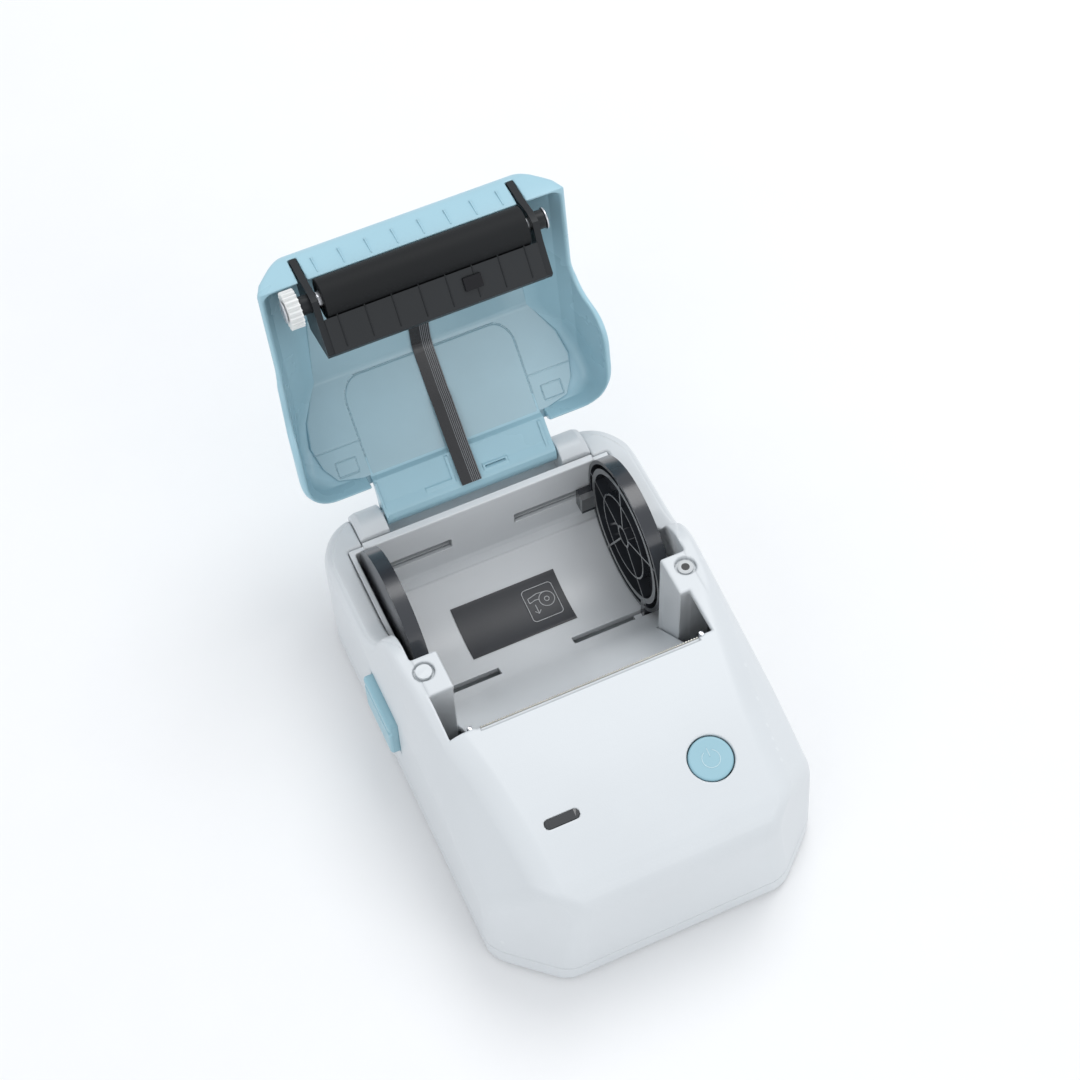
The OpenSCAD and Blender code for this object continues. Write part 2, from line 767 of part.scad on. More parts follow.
// The guide at the right-hand side.
module guide_disc() {
    dish = 2.4;
    rib = 0.5;
    ring = [[19, 17.6], [12.5, 12], [4.2, 3.6]];
    difference() {
        bar(guide_x[0], guide_x[1], guide_y, guide_z, guide_r);
        difference() {
            bar(guide_x[0] - 1, guide_x[0] + dish, guide_y, guide_z, guide_r - 1);
            for (r = ring) difference() {
                bar(guide_x[0], guide_x[1], guide_y, guide_z, r[0] - 1.2);
                bar(guide_x[0] - 1, guide_x[1], guide_y, guide_z, r[1] - 1.2);
            }
            for (a = [10, 82, 154, 226, 298]) translate([guide_x[0], guide_y, guide_z]) rotate([a, 0, 0])
                box([0, 2.4, -rib / 2], [dish, guide_r - 1, rib / 2]);
        }
    }
    // shoe at the rear slot and the tongue through it
    box([guide_x[0] - 3.6, 44.6, 17.8], [guide_x[0] + 0.2, 48.2, 23.6]);
    box([guide_x[0], 46.4, 20], [guide_x[1] - 0.9, 51.6, 22.2]);
    // foot through the front slot
    box([guide_x[0], front_slot_y[0] + 0.3, bridge_z[1]], [guide_x[1] - 0.9, front_slot_y[1] - 0.3, 14]);
}

// Slider under the bin with its rack; s is +1 where the teeth face the front.
module slider(s) {
    bar_y = guide_pinion_y + s * (guide_pinion_teeth * rack_m / 2);
    teeth = 14;
    arm_x = [guide_x[0] - 2, guide_x[1] - 0.9];
    arm_y = [min(bar_y, bar_y + s * 3), max(bar_y + s * 3, bar_y + 7)];
    foot_y = front_slot_y[1] - 0.3;
    box([arm_x[0], arm_y[0], rack_z[0]], [arm_x[1], min(arm_y[1], foot_y), bridge_z[1]]);
    box([arm_x[0], arm_y[0] + 2, bridge_z[0]], [arm_x[1], foot_y, bridge_z[1]]);
    translate([0, bar_y, rack_z[0]]) linear_extrude(rack_z[1] - rack_z[0]) union() {
        translate([-5, min(s * 0.6, s * 2.6)]) square([guide_x[0] + 4, 2]);
        for (i = [-3:teeth - 4]) translate([(i + 0.5) * rack_pitch, 0])
            polygon([[-0.42, s * 0.7], [-0.16, -s * 0.4], [0.16, -s * 0.4], [0.42, s * 0.7]]);
    }
}

module right_guide() {
    color(black) translate([-guide_in, 0, 0]) guide_disc();
}

module left_guide() {
    color(black) translate([guide_in, 0, 0]) mirror([1, 0, 0]) guide_disc();
}

module right_slider() {
    color(grey) translate([-guide_in, 0, 0]) slider(1);
}

module left_slider() {
    color(grey) translate([guide_in, 0, 0]) mirror([1, 0, 0]) slider(-1);
}

module guide_pinion() {
    color(white) translate([0, guide_pinion_y, rack_z[0]])
        spur(guide_pinion_teeth, rack_m, rack_z[1] - rack_z[0], 1.5, 90 + guide_in / 4 * 180 / PI);
}

// ---- buttons and latch
module power_button() {
    color(blue) on_deck(power_at) translate([0, 0, -3.6]) {
        cylinder(h = 3.4, r = power_d / 2);
        cylinder(h = 0.9, r = power_d / 2 + 1.2);
        translate([0, 0, -0.4]) cylinder(h = 0.4, r = 1.5);
    }
}

module release_button() {
    y = release_y;
    z = release_z;
    color(blue) {
        box([-half_w - 1.8, y[0], z[0]], [-39, y[1], z[1]]);
        box([-39.3, y[0] - 1.2, z[0] - 1.2], [-38.5, y[1] + 1.2, z[1] + 1.2]);
    }
}

latch_at = [-7, 23.5];
hook_x = [28.55, 29.75];
latch_pin_r = 1.5;

module latch_shaft() {
    color(steel) bar(-32, 31.5, latch_at[0], latch_at[1], latch_pin_r);
}

module latch_hooks() {
    arm = [[-9.6, 24.5], [-13.6, 37], [-14.2, 42.9], [-12.4, 43], [-12.7, 41.8], [-12.5, 38.6], [-11.2, 36],
        [-8.6, 33], [-4.4, 24.5]];
    color(steel) both_sides() difference() {
        union() {
            rotate([90, 0, 90]) translate([0, 0, hook_x[0]])
                linear_extrude(hook_x[1] - hook_x[0]) polygon(arm);
            bar(hook_x[0], hook_x[1], latch_at[0], latch_at[1], 3);
        }
        bar(20, 40, latch_at[0], latch_at[1], latch_pin_r);
    }
}

module latch_spring() {
    turns = 5;
    pitch = 0.8;
    color(steel) translate([18, latch_at[0], latch_at[1]]) rotate([0, 90, 0]) rotate_extrude()
        polygon(concat([[latch_pin_r, 0]],
            [for (i = [0:turns - 1]) each [[1.9, pitch * i], [2.3, pitch * (i + 0.5)]]],
            [[1.9, pitch * turns], [latch_pin_r, pitch * turns]]));
}

// Blocks on the base floor that carry the latch shaft.
module latch_blocks() {
    color(white) both_sides() difference() {
        box([23.5, latch_at[0] - 2.6, floor_z], [26.5, latch_at[0] + 2.1, latch_at[1] + 2.2]);
        bar(20, 40, latch_at[0], latch_at[1], latch_pin_r + 0.05);
    }
}

// ---- gears
module transfer_gear() {
    color([0.92, 0.92, 0.9]) side_gear(transfer_at, transfer_teeth, 1.05, transfer_phase);
}

module idler_gear() {
    color([0.92, 0.92, 0.9]) side_gear(idler_at, idler_teeth, 1.05, idler_phase);
}

module motor_pinion() {
    color([0.8, 0.66, 0.36]) side_gear(motor_at, pinion_teeth, 0.8, pinion_phase);
}

module motor_shaft() {
    color(steel) bar(gear_x[0] - 0.4, -27.3, motor_at[0], motor_at[1], 0.8);
}

base_shell();
feet();
case_screws();
top_shell();
paper_bin();
bin_label();
hinge_caps();
hinge_pins();
tear_bar();
print_head();
head_heatsink();
head_springs();
main_board();
battery();
port_board();
usb_port();
drive_motor();
gear_plate();
gear_posts();
indicator_lens();
control_board();
power_switch();
pillar_screws();
screw_plug();
latch_blocks();
lid_shell();
lid_panel();
hinge_plate();
platen_bracket();
bracket_screws();
gap_sensor();
sensor_ribbon();
platen_bushes();
platen_shaft();
platen_rubber();
platen_gear();
shaft_clips();
left_guide();
left_slider();
right_guide();
right_slider();
guide_pinion();
power_button();
release_button();
latch_shaft();
latch_hooks();
latch_spring();
transfer_gear();
motor_shaft();
motor_pinion();
idler_gear();
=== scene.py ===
"""Looks of the label printer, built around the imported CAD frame.

Lengths in the fields below are millimetres in the CAD frame. A field is a function of x, y and z
that is negative inside a solid; mesh_from turns it into a mesh in metres.
"""
import json
import math

import bpy
import numpy as np
import openvdb
from mathutils import Matrix, Vector


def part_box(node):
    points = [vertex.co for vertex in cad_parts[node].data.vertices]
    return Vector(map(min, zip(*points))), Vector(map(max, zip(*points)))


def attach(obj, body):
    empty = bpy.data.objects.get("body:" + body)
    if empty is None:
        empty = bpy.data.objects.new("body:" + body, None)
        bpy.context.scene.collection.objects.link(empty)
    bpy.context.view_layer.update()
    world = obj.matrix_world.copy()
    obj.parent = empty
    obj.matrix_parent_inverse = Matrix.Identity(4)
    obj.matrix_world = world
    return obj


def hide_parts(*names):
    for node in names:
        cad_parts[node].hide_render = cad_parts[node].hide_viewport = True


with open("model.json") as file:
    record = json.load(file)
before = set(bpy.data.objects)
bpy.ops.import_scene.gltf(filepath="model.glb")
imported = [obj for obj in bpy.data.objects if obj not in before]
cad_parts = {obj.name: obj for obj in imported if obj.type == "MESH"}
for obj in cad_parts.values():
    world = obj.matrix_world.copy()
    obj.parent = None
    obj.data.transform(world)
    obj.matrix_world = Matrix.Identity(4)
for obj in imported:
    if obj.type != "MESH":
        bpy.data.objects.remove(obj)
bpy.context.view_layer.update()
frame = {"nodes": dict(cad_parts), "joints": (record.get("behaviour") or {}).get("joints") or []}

MM = 0.001
FINE = 1.0      # factor on every voxel size
NODES = frame["nodes"]


def corners(node):
    low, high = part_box(node)
    return np.array(low) / MM, np.array(high) / MM


# ---- driving sizes, from the frame
HALF_W, HALF_L, SEAM_Z = corners("base_shell")[1]
DECK_Z = corners("top_shell")[1][2]
HINGE = next(j for j in frame["joints"] if j["name"] == "lid_hinge")
HINGE_Y = HINGE["pos_m"][1] / MM
HINGE_Z = HINGE["pos_m"][2] / MM
LID_OPEN = math.radians(HINGE["range_deg"][1])
OPEN_LID = (Matrix.Translation((0, HINGE_Y, HINGE_Z)) @ Matrix.Rotation(-LID_OPEN, 4, "X")
            @ Matrix.Translation((0, -HINGE_Y, -HINGE_Z)))

# ---- sizes of the body; a _Y or _Z name is a place on that axis, a _R name a radius
WALL = 2.0
FLOOR_Z = 3.0                                  # top of the base shell's floor
SEAM_GAP = 0.08                                # on each side of the seam between the shells
RIM_Z = 33.0
DECK_FLAT_Y = -2.0
DECK_R = 186.0
NOSE_R = 10.0
REAR_R = 6.5
CORNER_R = 18.0
STEP_HI_Y = 9.5
STEP_LO_Y = 29.0
FOOT_CHAMFER = 1.5
SIDE_N = np.array([0.784, -0.201, 0.588])      # normals and distances of the chamfered facets
SIDE_D = 56.9
FRONT_N = np.array([0.666, -0.742, 0.082])
FRONT_D = 64.1
SIDE_N /= np.linalg.norm(SIDE_N)
FRONT_N /= np.linalg.norm(FRONT_N)
BAY_X, BAY_Y0, BAY_Y1, SKIRT = 35.0, 7.5, 50.0, 1.5
THROAT_X, THROAT_Y, THROAT_L = 28.5, -15.0, 30.0
NOTCH_Y0, NOTCH_Y1 = -14.6, -3.0
NOTCH_L, NOTCH_R = 34.6, 31.0                  # outer ends of the left and the right notch
REBATE_X, REBATE = 27.4, 0.95                  # step in front of the tear bar
LEDGE_INSET, LEDGE_WIDER = 2.3, 4.8
LEDGE_DROP = 0.4                               # how far the rim outside the ledge is lowered
CAP_X, SHELF_Z = 31.0, 27.0
PILLAR_SCREW = (33.2, 3.5)
SCREW_RECESS_R, SCREW_RECESS, SCREW_HOLE_R = 2.6, 1.4, 1.0
POWER_AT = (16.8, -42.3)
POWER_R, POWER_HOLE_R, POWER_FLANGE_R, POWER_STEM_R = 5.2, 5.5, 6.4, 1.5
LENS_AT = (-19.6, -41.8)
LENS_HALF = (4.25, 1.2)
DECK_TILT = math.asin((DECK_FLAT_Y - POWER_AT[1]) / DECK_R)
RELEASE_Y = (3.5, 19.5)
RELEASE_Z = (14.0, 27.0)
RELEASE_GAP, RELEASE_FLANGE = 0.3, 1.2
USB = (18.0, 9.5)
USB_HALF = (4.7, 1.8)
USB_Y = 55.0                                   # where the port's opening begins
CASE_SCREWS = ((31.0, -40.0), (37.4, 30.0))
CASE_SCREW_R = 2.1
FOOT_X, FOOT_YS, FOOT_R, FOOT_POCKET = 30.0, (-50.0, 46.0), 4.05, 1.25

# ---- sizes of the lid, in its closed place
ROOF_Z = 57.5
LID_WALL = 1.6
SLOPE_Y = 28.0
SLOPE_A = math.radians(38.2)
LID_FRONT_Y, LID_REAR_Y, LID_BACK_Y = -13.8, 50.5, 48.0
BEND_R = 8.0
BEND_Y = SLOPE_Y - BEND_R * math.tan(SLOPE_A / 2)
RIM_HI, RIM_LO = DECK_Z + 0.5, RIM_Z + 0.8
LIP_Z = (46.4, 53.5)
LIP_R = 4.0                                    # edge between the lip and the roof
LID_HALF_W = HALF_W - 0.6
LID_CORNER_R = 6.0                             # lower rear corner in the side outline
PANEL_T = LID_WALL + 0.8
PLATE_X = (26.2, 27.8)
RIB_PITCH, RIB_COUNT = 6.55, 8                 # ribs on the lip and on the sensor panel
BARREL_R = 3.0
BARREL_X, LEAF_GAP_X = 22.8, 23.8              # ends of the leaf, and of the room cut for it
LEAF_Y = 44.0                                  # front end of the hinge leaf
LEAF_REAR = (48.0, 37.3)                       # where the leaf's face begins to fall to the barrel

# ---- sizes of the paper bin
CRADLE_Y, CRADLE_Z, CRADLE_R = 28.0, 30.0, 24.5
BIN_X, BIN_SIDE, BIN_WALL = 34.8, 1.4, 1.8
BIN_REAR_Y, BIN_BACK_Y, BEAM_Y, BEAM_H = 48.6, 49.8, 50.7, 1.6
BIN_FRONT_X, BIN_FRONT_Y, BIN_LIP_Z = 28.2, -14.4, 33.2
FRONT_SLOT = (21.1, 17.1, 11.1, 1.3)           # centre in x and y, half length, half width
REAR_SLOT = (20.4, 21.1, 11.8, 1.7)            # centre in x and z, half length, half width
SLOT_R = 0.3
GUIDE_X0, GUIDE_Y, GUIDE_Z, GUIDE_R = 29.0, 28.3, 27.2, 20.0


# ---- fields
def rmax(a, b, r):
    """Intersection of two fields with a rounded edge of radius r."""
    return np.minimum(np.maximum(a, b), -r) + np.hypot(np.maximum(a + r, 0), np.maximum(b + r, 0))


def rmin(a, b, r):
    """Union of two fields with a rounded inner corner of radius r."""
    return -rmax(-a, -b, r)


def box(x, y, z, low, high):
    """Field of a box; a None leaves that side open."""
    out = -1e3
    for v, a, b in zip((x, y, z), low, high):
        if a is not None:
            out = np.maximum(out, a - v)
        if b is not None:
            out = np.maximum(out, v - b)
    return out


def round_rect(u, v, cu, cv, hu, hv, r):
    """Rectangle round (cu, cv) with half sizes hu and hv and corners of radius r."""
    du = np.abs(u - cu) - hu + r
    dv = np.abs(v - cv) - hv + r
    return np.minimum(np.maximum(du, dv), 0) + np.hypot(np.maximum(du, 0), np.maximum(dv, 0)) - r


def outline(u, v, points):
    """Signed distance to a closed outline."""
    u, v = np.broadcast_arrays(np.asarray(u, np.float32), np.asarray(v, np.float32))
    best = np.full(u.shape, 1e9, np.float32)
    inside = np.zeros(u.shape, bool)
    for (u0, v0), (u1, v1) in zip(points, points[1:] + points[:1]):
        du, dv = u1 - u0, v1 - v0
        length = du * du + dv * dv
        if length < 1e-9:
            continue
        t = np.clip(((u - u0) * du + (v - v0) * dv) / length, 0, 1)
        best = np.minimum(best, (u - u0 - t * du) ** 2 + (v - v0 - t * dv) ** 2)
        if v0 != v1:
            cross = ((v0 <= v) != (v1 <= v)) & (u < u0 + (v - v0) * du / dv)
            inside ^= cross
    return np.sqrt(best) * np.where(inside, -1, 1).astype(np.float32)


def arc(cu, cv, r, a0, a1, n):
    """Points of an arc round (cu, cv), from angle a0 to a1 in degrees."""
    angles = [math.radians(a0 + (a1 - a0) * i / n) for i in range(n + 1)]
    return [(cu + r * math.cos(a), cv + r * math.sin(a)) for a in angles]


def step_down(u0, v0, u1, v1, n=16):
    """Two equal arcs that step down from one level to the other, level at both ends."""
    du, dv = (u1 - u0) / 2, (v0 - v1) / 2
    r = (du * du + dv * dv) / (2 * dv)
    a = math.degrees(math.asin(du / r))
    return arc(u0, v0 - r, r, 90, 90 - a, n) + arc(u1, v1 + r, r, 270 - a, 270, n)


def body_side():
    """Side outline of the body: nose, cambered deck, step down to the rim, and rear edge."""
    y = NOSE_R - HALF_L
    z = DECK_Z - DECK_R + math.sqrt((DECK_R - NOSE_R) ** 2 - (y - DECK_FLAT_Y) ** 2)
    a = math.degrees(math.atan2(z - DECK_Z + DECK_R, y - DECK_FLAT_Y))
    return ([(-HALF_L + FOOT_CHAMFER, 0), (-HALF_L, FOOT_CHAMFER)] + arc(y, z, NOSE_R, 180, a, 12)
            + arc(DECK_FLAT_Y, DECK_Z - DECK_R, DECK_R, a, 90, 24)
            + step_down(STEP_HI_Y, DECK_Z, STEP_LO_Y, RIM_Z)
            + arc(HALF_L - REAR_R, RIM_Z - REAR_R, REAR_R, 90, 0, 8)
            + [(HALF_L, FOOT_CHAMFER), (HALF_L - FOOT_CHAMFER, 0)])


BODY_SIDE = body_side()
BODY_CROSS = [(-5, 0), (HALF_W - FOOT_CHAMFER, 0), (HALF_W, FOOT_CHAMFER), (HALF_W, 12),
              (HALF_W - 0.5, 30), (HALF_W - 3.4, DECK_Z), (HALF_W - 3.6, DECK_Z + 4), (-5, DECK_Z + 4)]


def body_field(x, y, z):
    ax = np.abs(x)
    f = round_rect(x, y, 0, 0, HALF_W, HALF_L, CORNER_R)
    f = rmax(f, outline(ax, z, BODY_CROSS), 1.0)
    f = rmax(f, outline(y, z, BODY_SIDE), 2.4)
    f = rmax(f, ax * SIDE_N[0] + y * SIDE_N[1] + z * SIDE_N[2] - SIDE_D, 3.0)
    return rmax(f, ax * FRONT_N[0] + y * FRONT_N[1] + z * FRONT_N[2] - FRONT_D, 2.0)


def deck_height(y):
    return DECK_Z - DECK_R + np.sqrt(DECK_R ** 2 - (y - DECK_FLAT_Y) ** 2)


def deck_frame(at):
    """Matrix from the deck's own axes at a place, with Z along its normal."""
    return Matrix.Translation((at[0], at[1], float(deck_height(at[1])))) @ Matrix.Rotation(DECK_TILT, 4, "X")


def on_deck(x, y, z, at):
    """Coordinates in deck_frame(at)."""
    dy, dz = y - at[1], z - float(deck_height(at[1]))
    c, s = math.cos(DECK_TILT), math.sin(DECK_TILT)
    return x - at[0], dy * c + dz * s, -dy * s + dz * c


def smooth(v, a, b):
    """Eased step from 0 at a to 1 at b."""
    t = np.clip((v - a) / (b - a), 0, 1)
    return t * t * (3 - 2 * t)


def ledge_field(x, y):
    """Plan of the raised ledge that goes inside the closed lid."""
    edge = NOTCH_L + LEDGE_WIDER * smooth(y, 7, 24)
    return np.maximum(np.abs(x) - edge, round_rect(x, y, 0, 0, HALF_W, HALF_L, CORNER_R) + LEDGE_INSET)


def top_shell_field(x, y, z):
    outer = body_field(x, y, z)
    lowered = outline(y, z, BODY_SIDE) + LEDGE_DROP * smooth(y, -13, 0)
    outer = rmax(outer, rmin(ledge_field(x, y), lowered, 0.3), 0.25)
    f = np.maximum(outer, -(body_field(x, y, z) + WALL))
    ax = np.abs(x)
    inner = box(x, y, z, (-BAY_X - SKIRT, BAY_Y0 - WALL, 8), (BAY_X + SKIRT, BAY_Y1 + SKIRT, None))
    pillar = box(ax, y, z, (THROAT_X, NOTCH_Y1, 16), (BAY_X + SKIRT, BAY_Y0, None))
    shelf = box(x, y, z, (-CAP_X - 2, BAY_Y1, SHELF_Z - 2), (CAP_X + 2, HALF_L - 1, SHELF_Z))
    inner = np.minimum(np.minimum(inner, pillar), shelf)
    f = np.minimum(f, np.maximum(inner, outer))
    bay = round_rect(x, y, 0, (BAY_Y0 + BAY_Y1) / 2, BAY_X, (BAY_Y1 - BAY_Y0) / 2, 1.0)
    throat = round_rect(x, y, 0, THROAT_Y + THROAT_L / 2, THROAT_X, THROAT_L / 2, 0.4)
    cut = np.minimum(bay, throat)
    hinge = box(x, y, z, (-CAP_X, BAY_Y1 - 2, SHELF_Z), (CAP_X, HALF_L - 1.9, None))
    notch_l = box(x, y, z, (-NOTCH_L, NOTCH_Y0, None), (-THROAT_X + 1, NOTCH_Y1, None))
    notch_r = box(x, y, z, (THROAT_X - 1, NOTCH_Y0, None), (NOTCH_R, NOTCH_Y1, None))
    cut = np.minimum(np.minimum(cut, hinge), np.minimum(notch_l, notch_r))
    f = rmax(f, -cut, 0.55)
    screw = np.hypot(ax - PILLAR_SCREW[0], y - PILLAR_SCREW[1])
    recess = np.maximum(screw - SCREW_RECESS_R, DECK_Z - SCREW_RECESS - z)
    f = rmax(f, -np.minimum(recess, screw - SCREW_HOLE_R), 0.3)
    u, v = on_deck(x, y, z, POWER_AT)[:2]
    f = rmax(f, POWER_HOLE_R - np.hypot(u, v), 0.25)
    u, v = on_deck(x, y, z, LENS_AT)[:2]
    f = rmax(f, -round_rect(u, v, 0, 0, *LENS_HALF, LENS_HALF[1] - 0.01), 0.15)
    # channels behind the bin's rear slots, and the step in front of the tear bar
    cx, cz, hx, hz = REAR_SLOT
    channels = box(ax, y, z, (cx - hx, BAY_Y1 - 1, cz - hz), (cx + hx, BAY_Y1 + 3, cz + hz))
    rebate = box(ax, y, z, (None, THROAT_Y - REBATE, DECK_Z - 1), (REBATE_X, THROAT_Y + 0.5, None))
    f = rmax(f, -np.minimum(channels, rebate), 0.15)
    button = box(x, y, z, (None, RELEASE_Y[0] - RELEASE_GAP, RELEASE_Z[0] - RELEASE_GAP),
                 (-BAY_X - SKIRT - 1, RELEASE_Y[1] + RELEASE_GAP, RELEASE_Z[1] + RELEASE_GAP))
    f = rmax(f, -button, 0.25)
    usb = np.maximum(round_rect(x, z, *USB, *USB_HALF, USB_HALF[1] - 0.01), USB_Y - y)
    f = rmax(f, -usb, 0.3)
    return rmax(f, SEAM_Z + SEAM_GAP - z, 0.3)


def base_shell_field(x, y, z):
    outer = body_field(x, y, z)
    hollow = np.maximum(outer + WALL, FLOOR_Z - z)
    f = rmax(outer, -hollow, 0.3)
    for side in (-1, 1):
        for screw_x, screw_y in CASE_SCREWS:
            f = rmax(f, CASE_SCREW_R - np.hypot(x - side * screw_x, y - screw_y), 0.2)
        for foot_y in FOOT_YS:
            pocket = np.maximum(np.hypot(x - side * FOOT_X, y - foot_y) - FOOT_R, z - FOOT_POCKET)
            f = rmax(f, -pocket, 0.2)
    return rmax(f, z - SEAM_Z + SEAM_GAP, 0.3)


def bin_floor(t):
    """Floor of the bin up to the crease where the cradle ends, t below its upper surface."""
    front = [(BIN_FRONT_Y, BIN_LIP_Z - t), (-8.5, BIN_LIP_Z - 1.3 - 1.2 * t)]
    return front + arc(CRADLE_Y, CRADLE_Z, CRADLE_R + t, 225, 315, 40)


TROUGH = [(46.0, 12.2), (48.0, 12.4), (BIN_REAR_Y, 13.4)]
BIN_OUT = bin_floor(BIN_WALL) + [(BIN_BACK_Y, 10.6), (BIN_BACK_Y, RIM_Z - BEAM_H), (BEAM_Y, RIM_Z - BEAM_H),
                                 (BEAM_Y, 40), (BIN_FRONT_Y, 40)]
BIN_IN = bin_floor(0) + TROUGH + [(BIN_REAR_Y, 60), (-24, 60), (-24, BIN_LIP_Z)]


def bin_field(x, y, z):
    ax = np.abs(x)
    main = box(ax, y, z, (None, BAY_Y0 + 0.3, None), (BIN_X, BIN_BACK_Y, RIM_Z - 0.4))
    front = box(ax, y, z, (None, -20, None), (BIN_FRONT_X, BAY_Y0 + 1, 40))
    beam = box(ax, y, z, (None, BIN_REAR_Y - 1, RIM_Z - BEAM_H), (CAP_X - 0.2, BEAM_Y, RIM_Z))
    f = rmax(outline(y, z, BIN_OUT), np.minimum(np.minimum(main, front), beam), 0.3)
    inside = rmax(outline(y, z, BIN_IN), ax - BIN_X + BIN_SIDE, 0.8)
    f = rmax(f, -inside, 0.3)
    front_slot = np.maximum(round_rect(ax, y, *FRONT_SLOT, SLOT_R), z - 14)
    rear_slot = np.maximum(round_rect(ax, z, *REAR_SLOT, SLOT_R), BIN_REAR_Y - 4 - y)
    return rmax(f, -np.minimum(front_slot, rear_slot), 0.18)


def slope_z(y, t):
    """Height of the lid's rear slope, t below its surface."""
    return ROOF_Z - (y - SLOPE_Y) * math.tan(SLOPE_A) - t / math.cos(SLOPE_A)


def roof_line(y0, y1, t):
    """Side line of the roof, its bend and the slope, from y0 to y1."""
    bend = arc(BEND_Y, ROOF_Z - BEND_R, BEND_R - t, 90, 90 - math.degrees(SLOPE_A), 8)
    return [(y0, ROOF_Z - t)] + bend + [(y1, slope_z(y1, t))]


LID_SIDE = ([(LID_FRONT_Y + 1.3, LIP_Z[0]), (LID_FRONT_Y, LIP_Z[1])]
            + arc(LID_FRONT_Y + LIP_R, LIP_Z[1], LIP_R, 180, 90, 8) + roof_line(0, LID_REAR_Y, 0)
            + arc(LID_REAR_Y - LID_CORNER_R - 0.5, RIM_LO + LID_CORNER_R, LID_CORNER_R, 0, -90, 8)
            + step_down(STEP_HI_Y + 0.5, RIM_HI, STEP_LO_Y + 0.5, RIM_LO)[::-1])
LID_INSIDE = ([(LID_FRONT_Y + LID_WALL, 20)]
              + arc(LID_FRONT_Y + LIP_R, LIP_Z[1], LIP_R - LID_WALL, 180, 90, 8)
              + roof_line(0, LID_BACK_Y, LID_WALL) + [(LID_BACK_Y, 20)])


def lid_cross(t):
    """Cross outline of the lid, t inside its surface, carried on above the roof."""
    w, lean = LID_HALF_W - t, math.tan(math.radians(38)) * t
    over = 4
    return [(-5, 15), (w, 15), (w, RIM_Z), (w - 2.8, DECK_Z), (w - 4.9, 50),
            (w - 12.4 - lean + t - over, ROOF_Z - t + over), (-5, ROOF_Z - t + over)]


LID_CROSS_OUT = lid_cross(0)
LID_CROSS_IN = lid_cross(LID_WALL)


def plan_lid(x, y, hw, y0, y1, r0, r1):
    """Plan of the lid, with corners of radius r0 at the front and r1 at the rear."""
    mid = (y0 + y1) / 2
    half = (y1 - y0) / 2
    return np.where(y < mid, round_rect(x, y, 0, mid, hw, half, r0), round_rect(x, y, 0, mid, hw, half, r1))


def lid_outer_field(x, y, z):
    ax = np.abs(x)
    f = rmax(outline(y, z, LID_SIDE), outline(ax, z, LID_CROSS_OUT), 1.2)
    return rmax(f, plan_lid(x, y, LID_HALF_W, LID_FRONT_Y, LID_REAR_Y, 7, 15), 1.2)


def lid_shell_field(x, y, z):
    ax = np.abs(x)
    inner = rmax(outline(y, z, LID_INSIDE), outline(ax, z, LID_CROSS_IN), 2.5)
    plan = plan_lid(x, y, LID_HALF_W - LID_WALL, LID_FRONT_Y + LID_WALL, LID_BACK_Y, 5.4, 10)
    inner = rmax(inner, plan, 1.5)
    f = rmax(lid_outer_field(x, y, z), -inner, 0.5)
    # slots for the bracket's plates, and room for the hinge leaf under the slope
    slots = box(ax, y, z, (PLATE_X[0] - 0.25, None, 40), (PLATE_X[1] + 0.25, LID_FRONT_Y + 4, LIP_Z[1] + 0.2))
    slope = z - slope_z(50, LID_WALL) - (50 - y) * math.tan(SLOPE_A)
    leaf = np.maximum(np.maximum(ax - LEAF_GAP_X, 46.5 - y), slope)
    return rmax(f, -np.minimum(slots, leaf), 0.25)


LINER_EDGE = [(-9, 5), (24.5, 5), (26.6, 8), (28.4, 27), (33.2, 34), (34.4, 39), (33.2, 43.4), (30.6, 46.6),
              (24.6, 47.7), (-9, 47.7)]
WINDOW_X = 22.3                                # half width of the line scored round the liner's middle


def groove(d, level, width=0.16, depth=0.22):
    """Field of a scored line: d is the distance from the line, level is 0 on the surface."""
    return np.maximum(np.abs(d) - width, np.abs(level) - depth)


def liner_field(x, y, z):
    ax = np.abs(x)
    flat = ROOF_Z - PANEL_T - z
    slope = (slope_z(y, PANEL_T) - z) * math.cos(SLOPE_A)
    under = rmin(flat, slope, 0.6)
    over = z - np.minimum(ROOF_Z - LID_WALL, slope_z(y, LID_WALL)) + 0.05
    f = rmax(rmax(under, over, 0.1), outline(ax, y, LINER_EDGE), 0.35)
    window = round_rect(x, y, 0, 40, WINDOW_X, 11.6, 5)
    lines = groove(window, under)
    patch = round_rect(ax, y, 27.4, 44.6, 2.6, 1.5, 0.3)
    lines = np.minimum(lines, groove(patch, under, 0.12, 0.16))
    seam = np.maximum(groove(y - 40.4, under, 0.1, 0.14), WINDOW_X - ax)
    lines = np.minimum(lines, seam)
    f = rmax(f, -np.maximum(lines, 25 - y), 0.05)
    return np.maximum(f, outline(ax, z, LID_CROSS_IN) + 0.3)


LEAF = [(LEAF_Y, slope_z(LEAF_Y, LID_WALL + 0.05)), (LID_REAR_Y, slope_z(LID_REAR_Y, LID_WALL)),
        (HINGE_Y, HINGE_Z + BARREL_R - 0.2), (HINGE_Y, HINGE_Z), (HINGE_Y - 1.5, HINGE_Z - BARREL_R + 0.8),
        LEAF_REAR, (47.9, slope_z(47.9, PANEL_T)), (LEAF_Y, slope_z(LEAF_Y, PANEL_T - 0.1))]
LEAF_ANGLE = math.atan2(7.1, 7.7)              # fall of the leaf's face towards the barrel


def strip(x, y, x0, x1, y0, y1):
    """Plan of a straight strip."""
    return np.maximum(np.maximum(x0 - x, x - x1), np.maximum(y0 - y, y - y1))


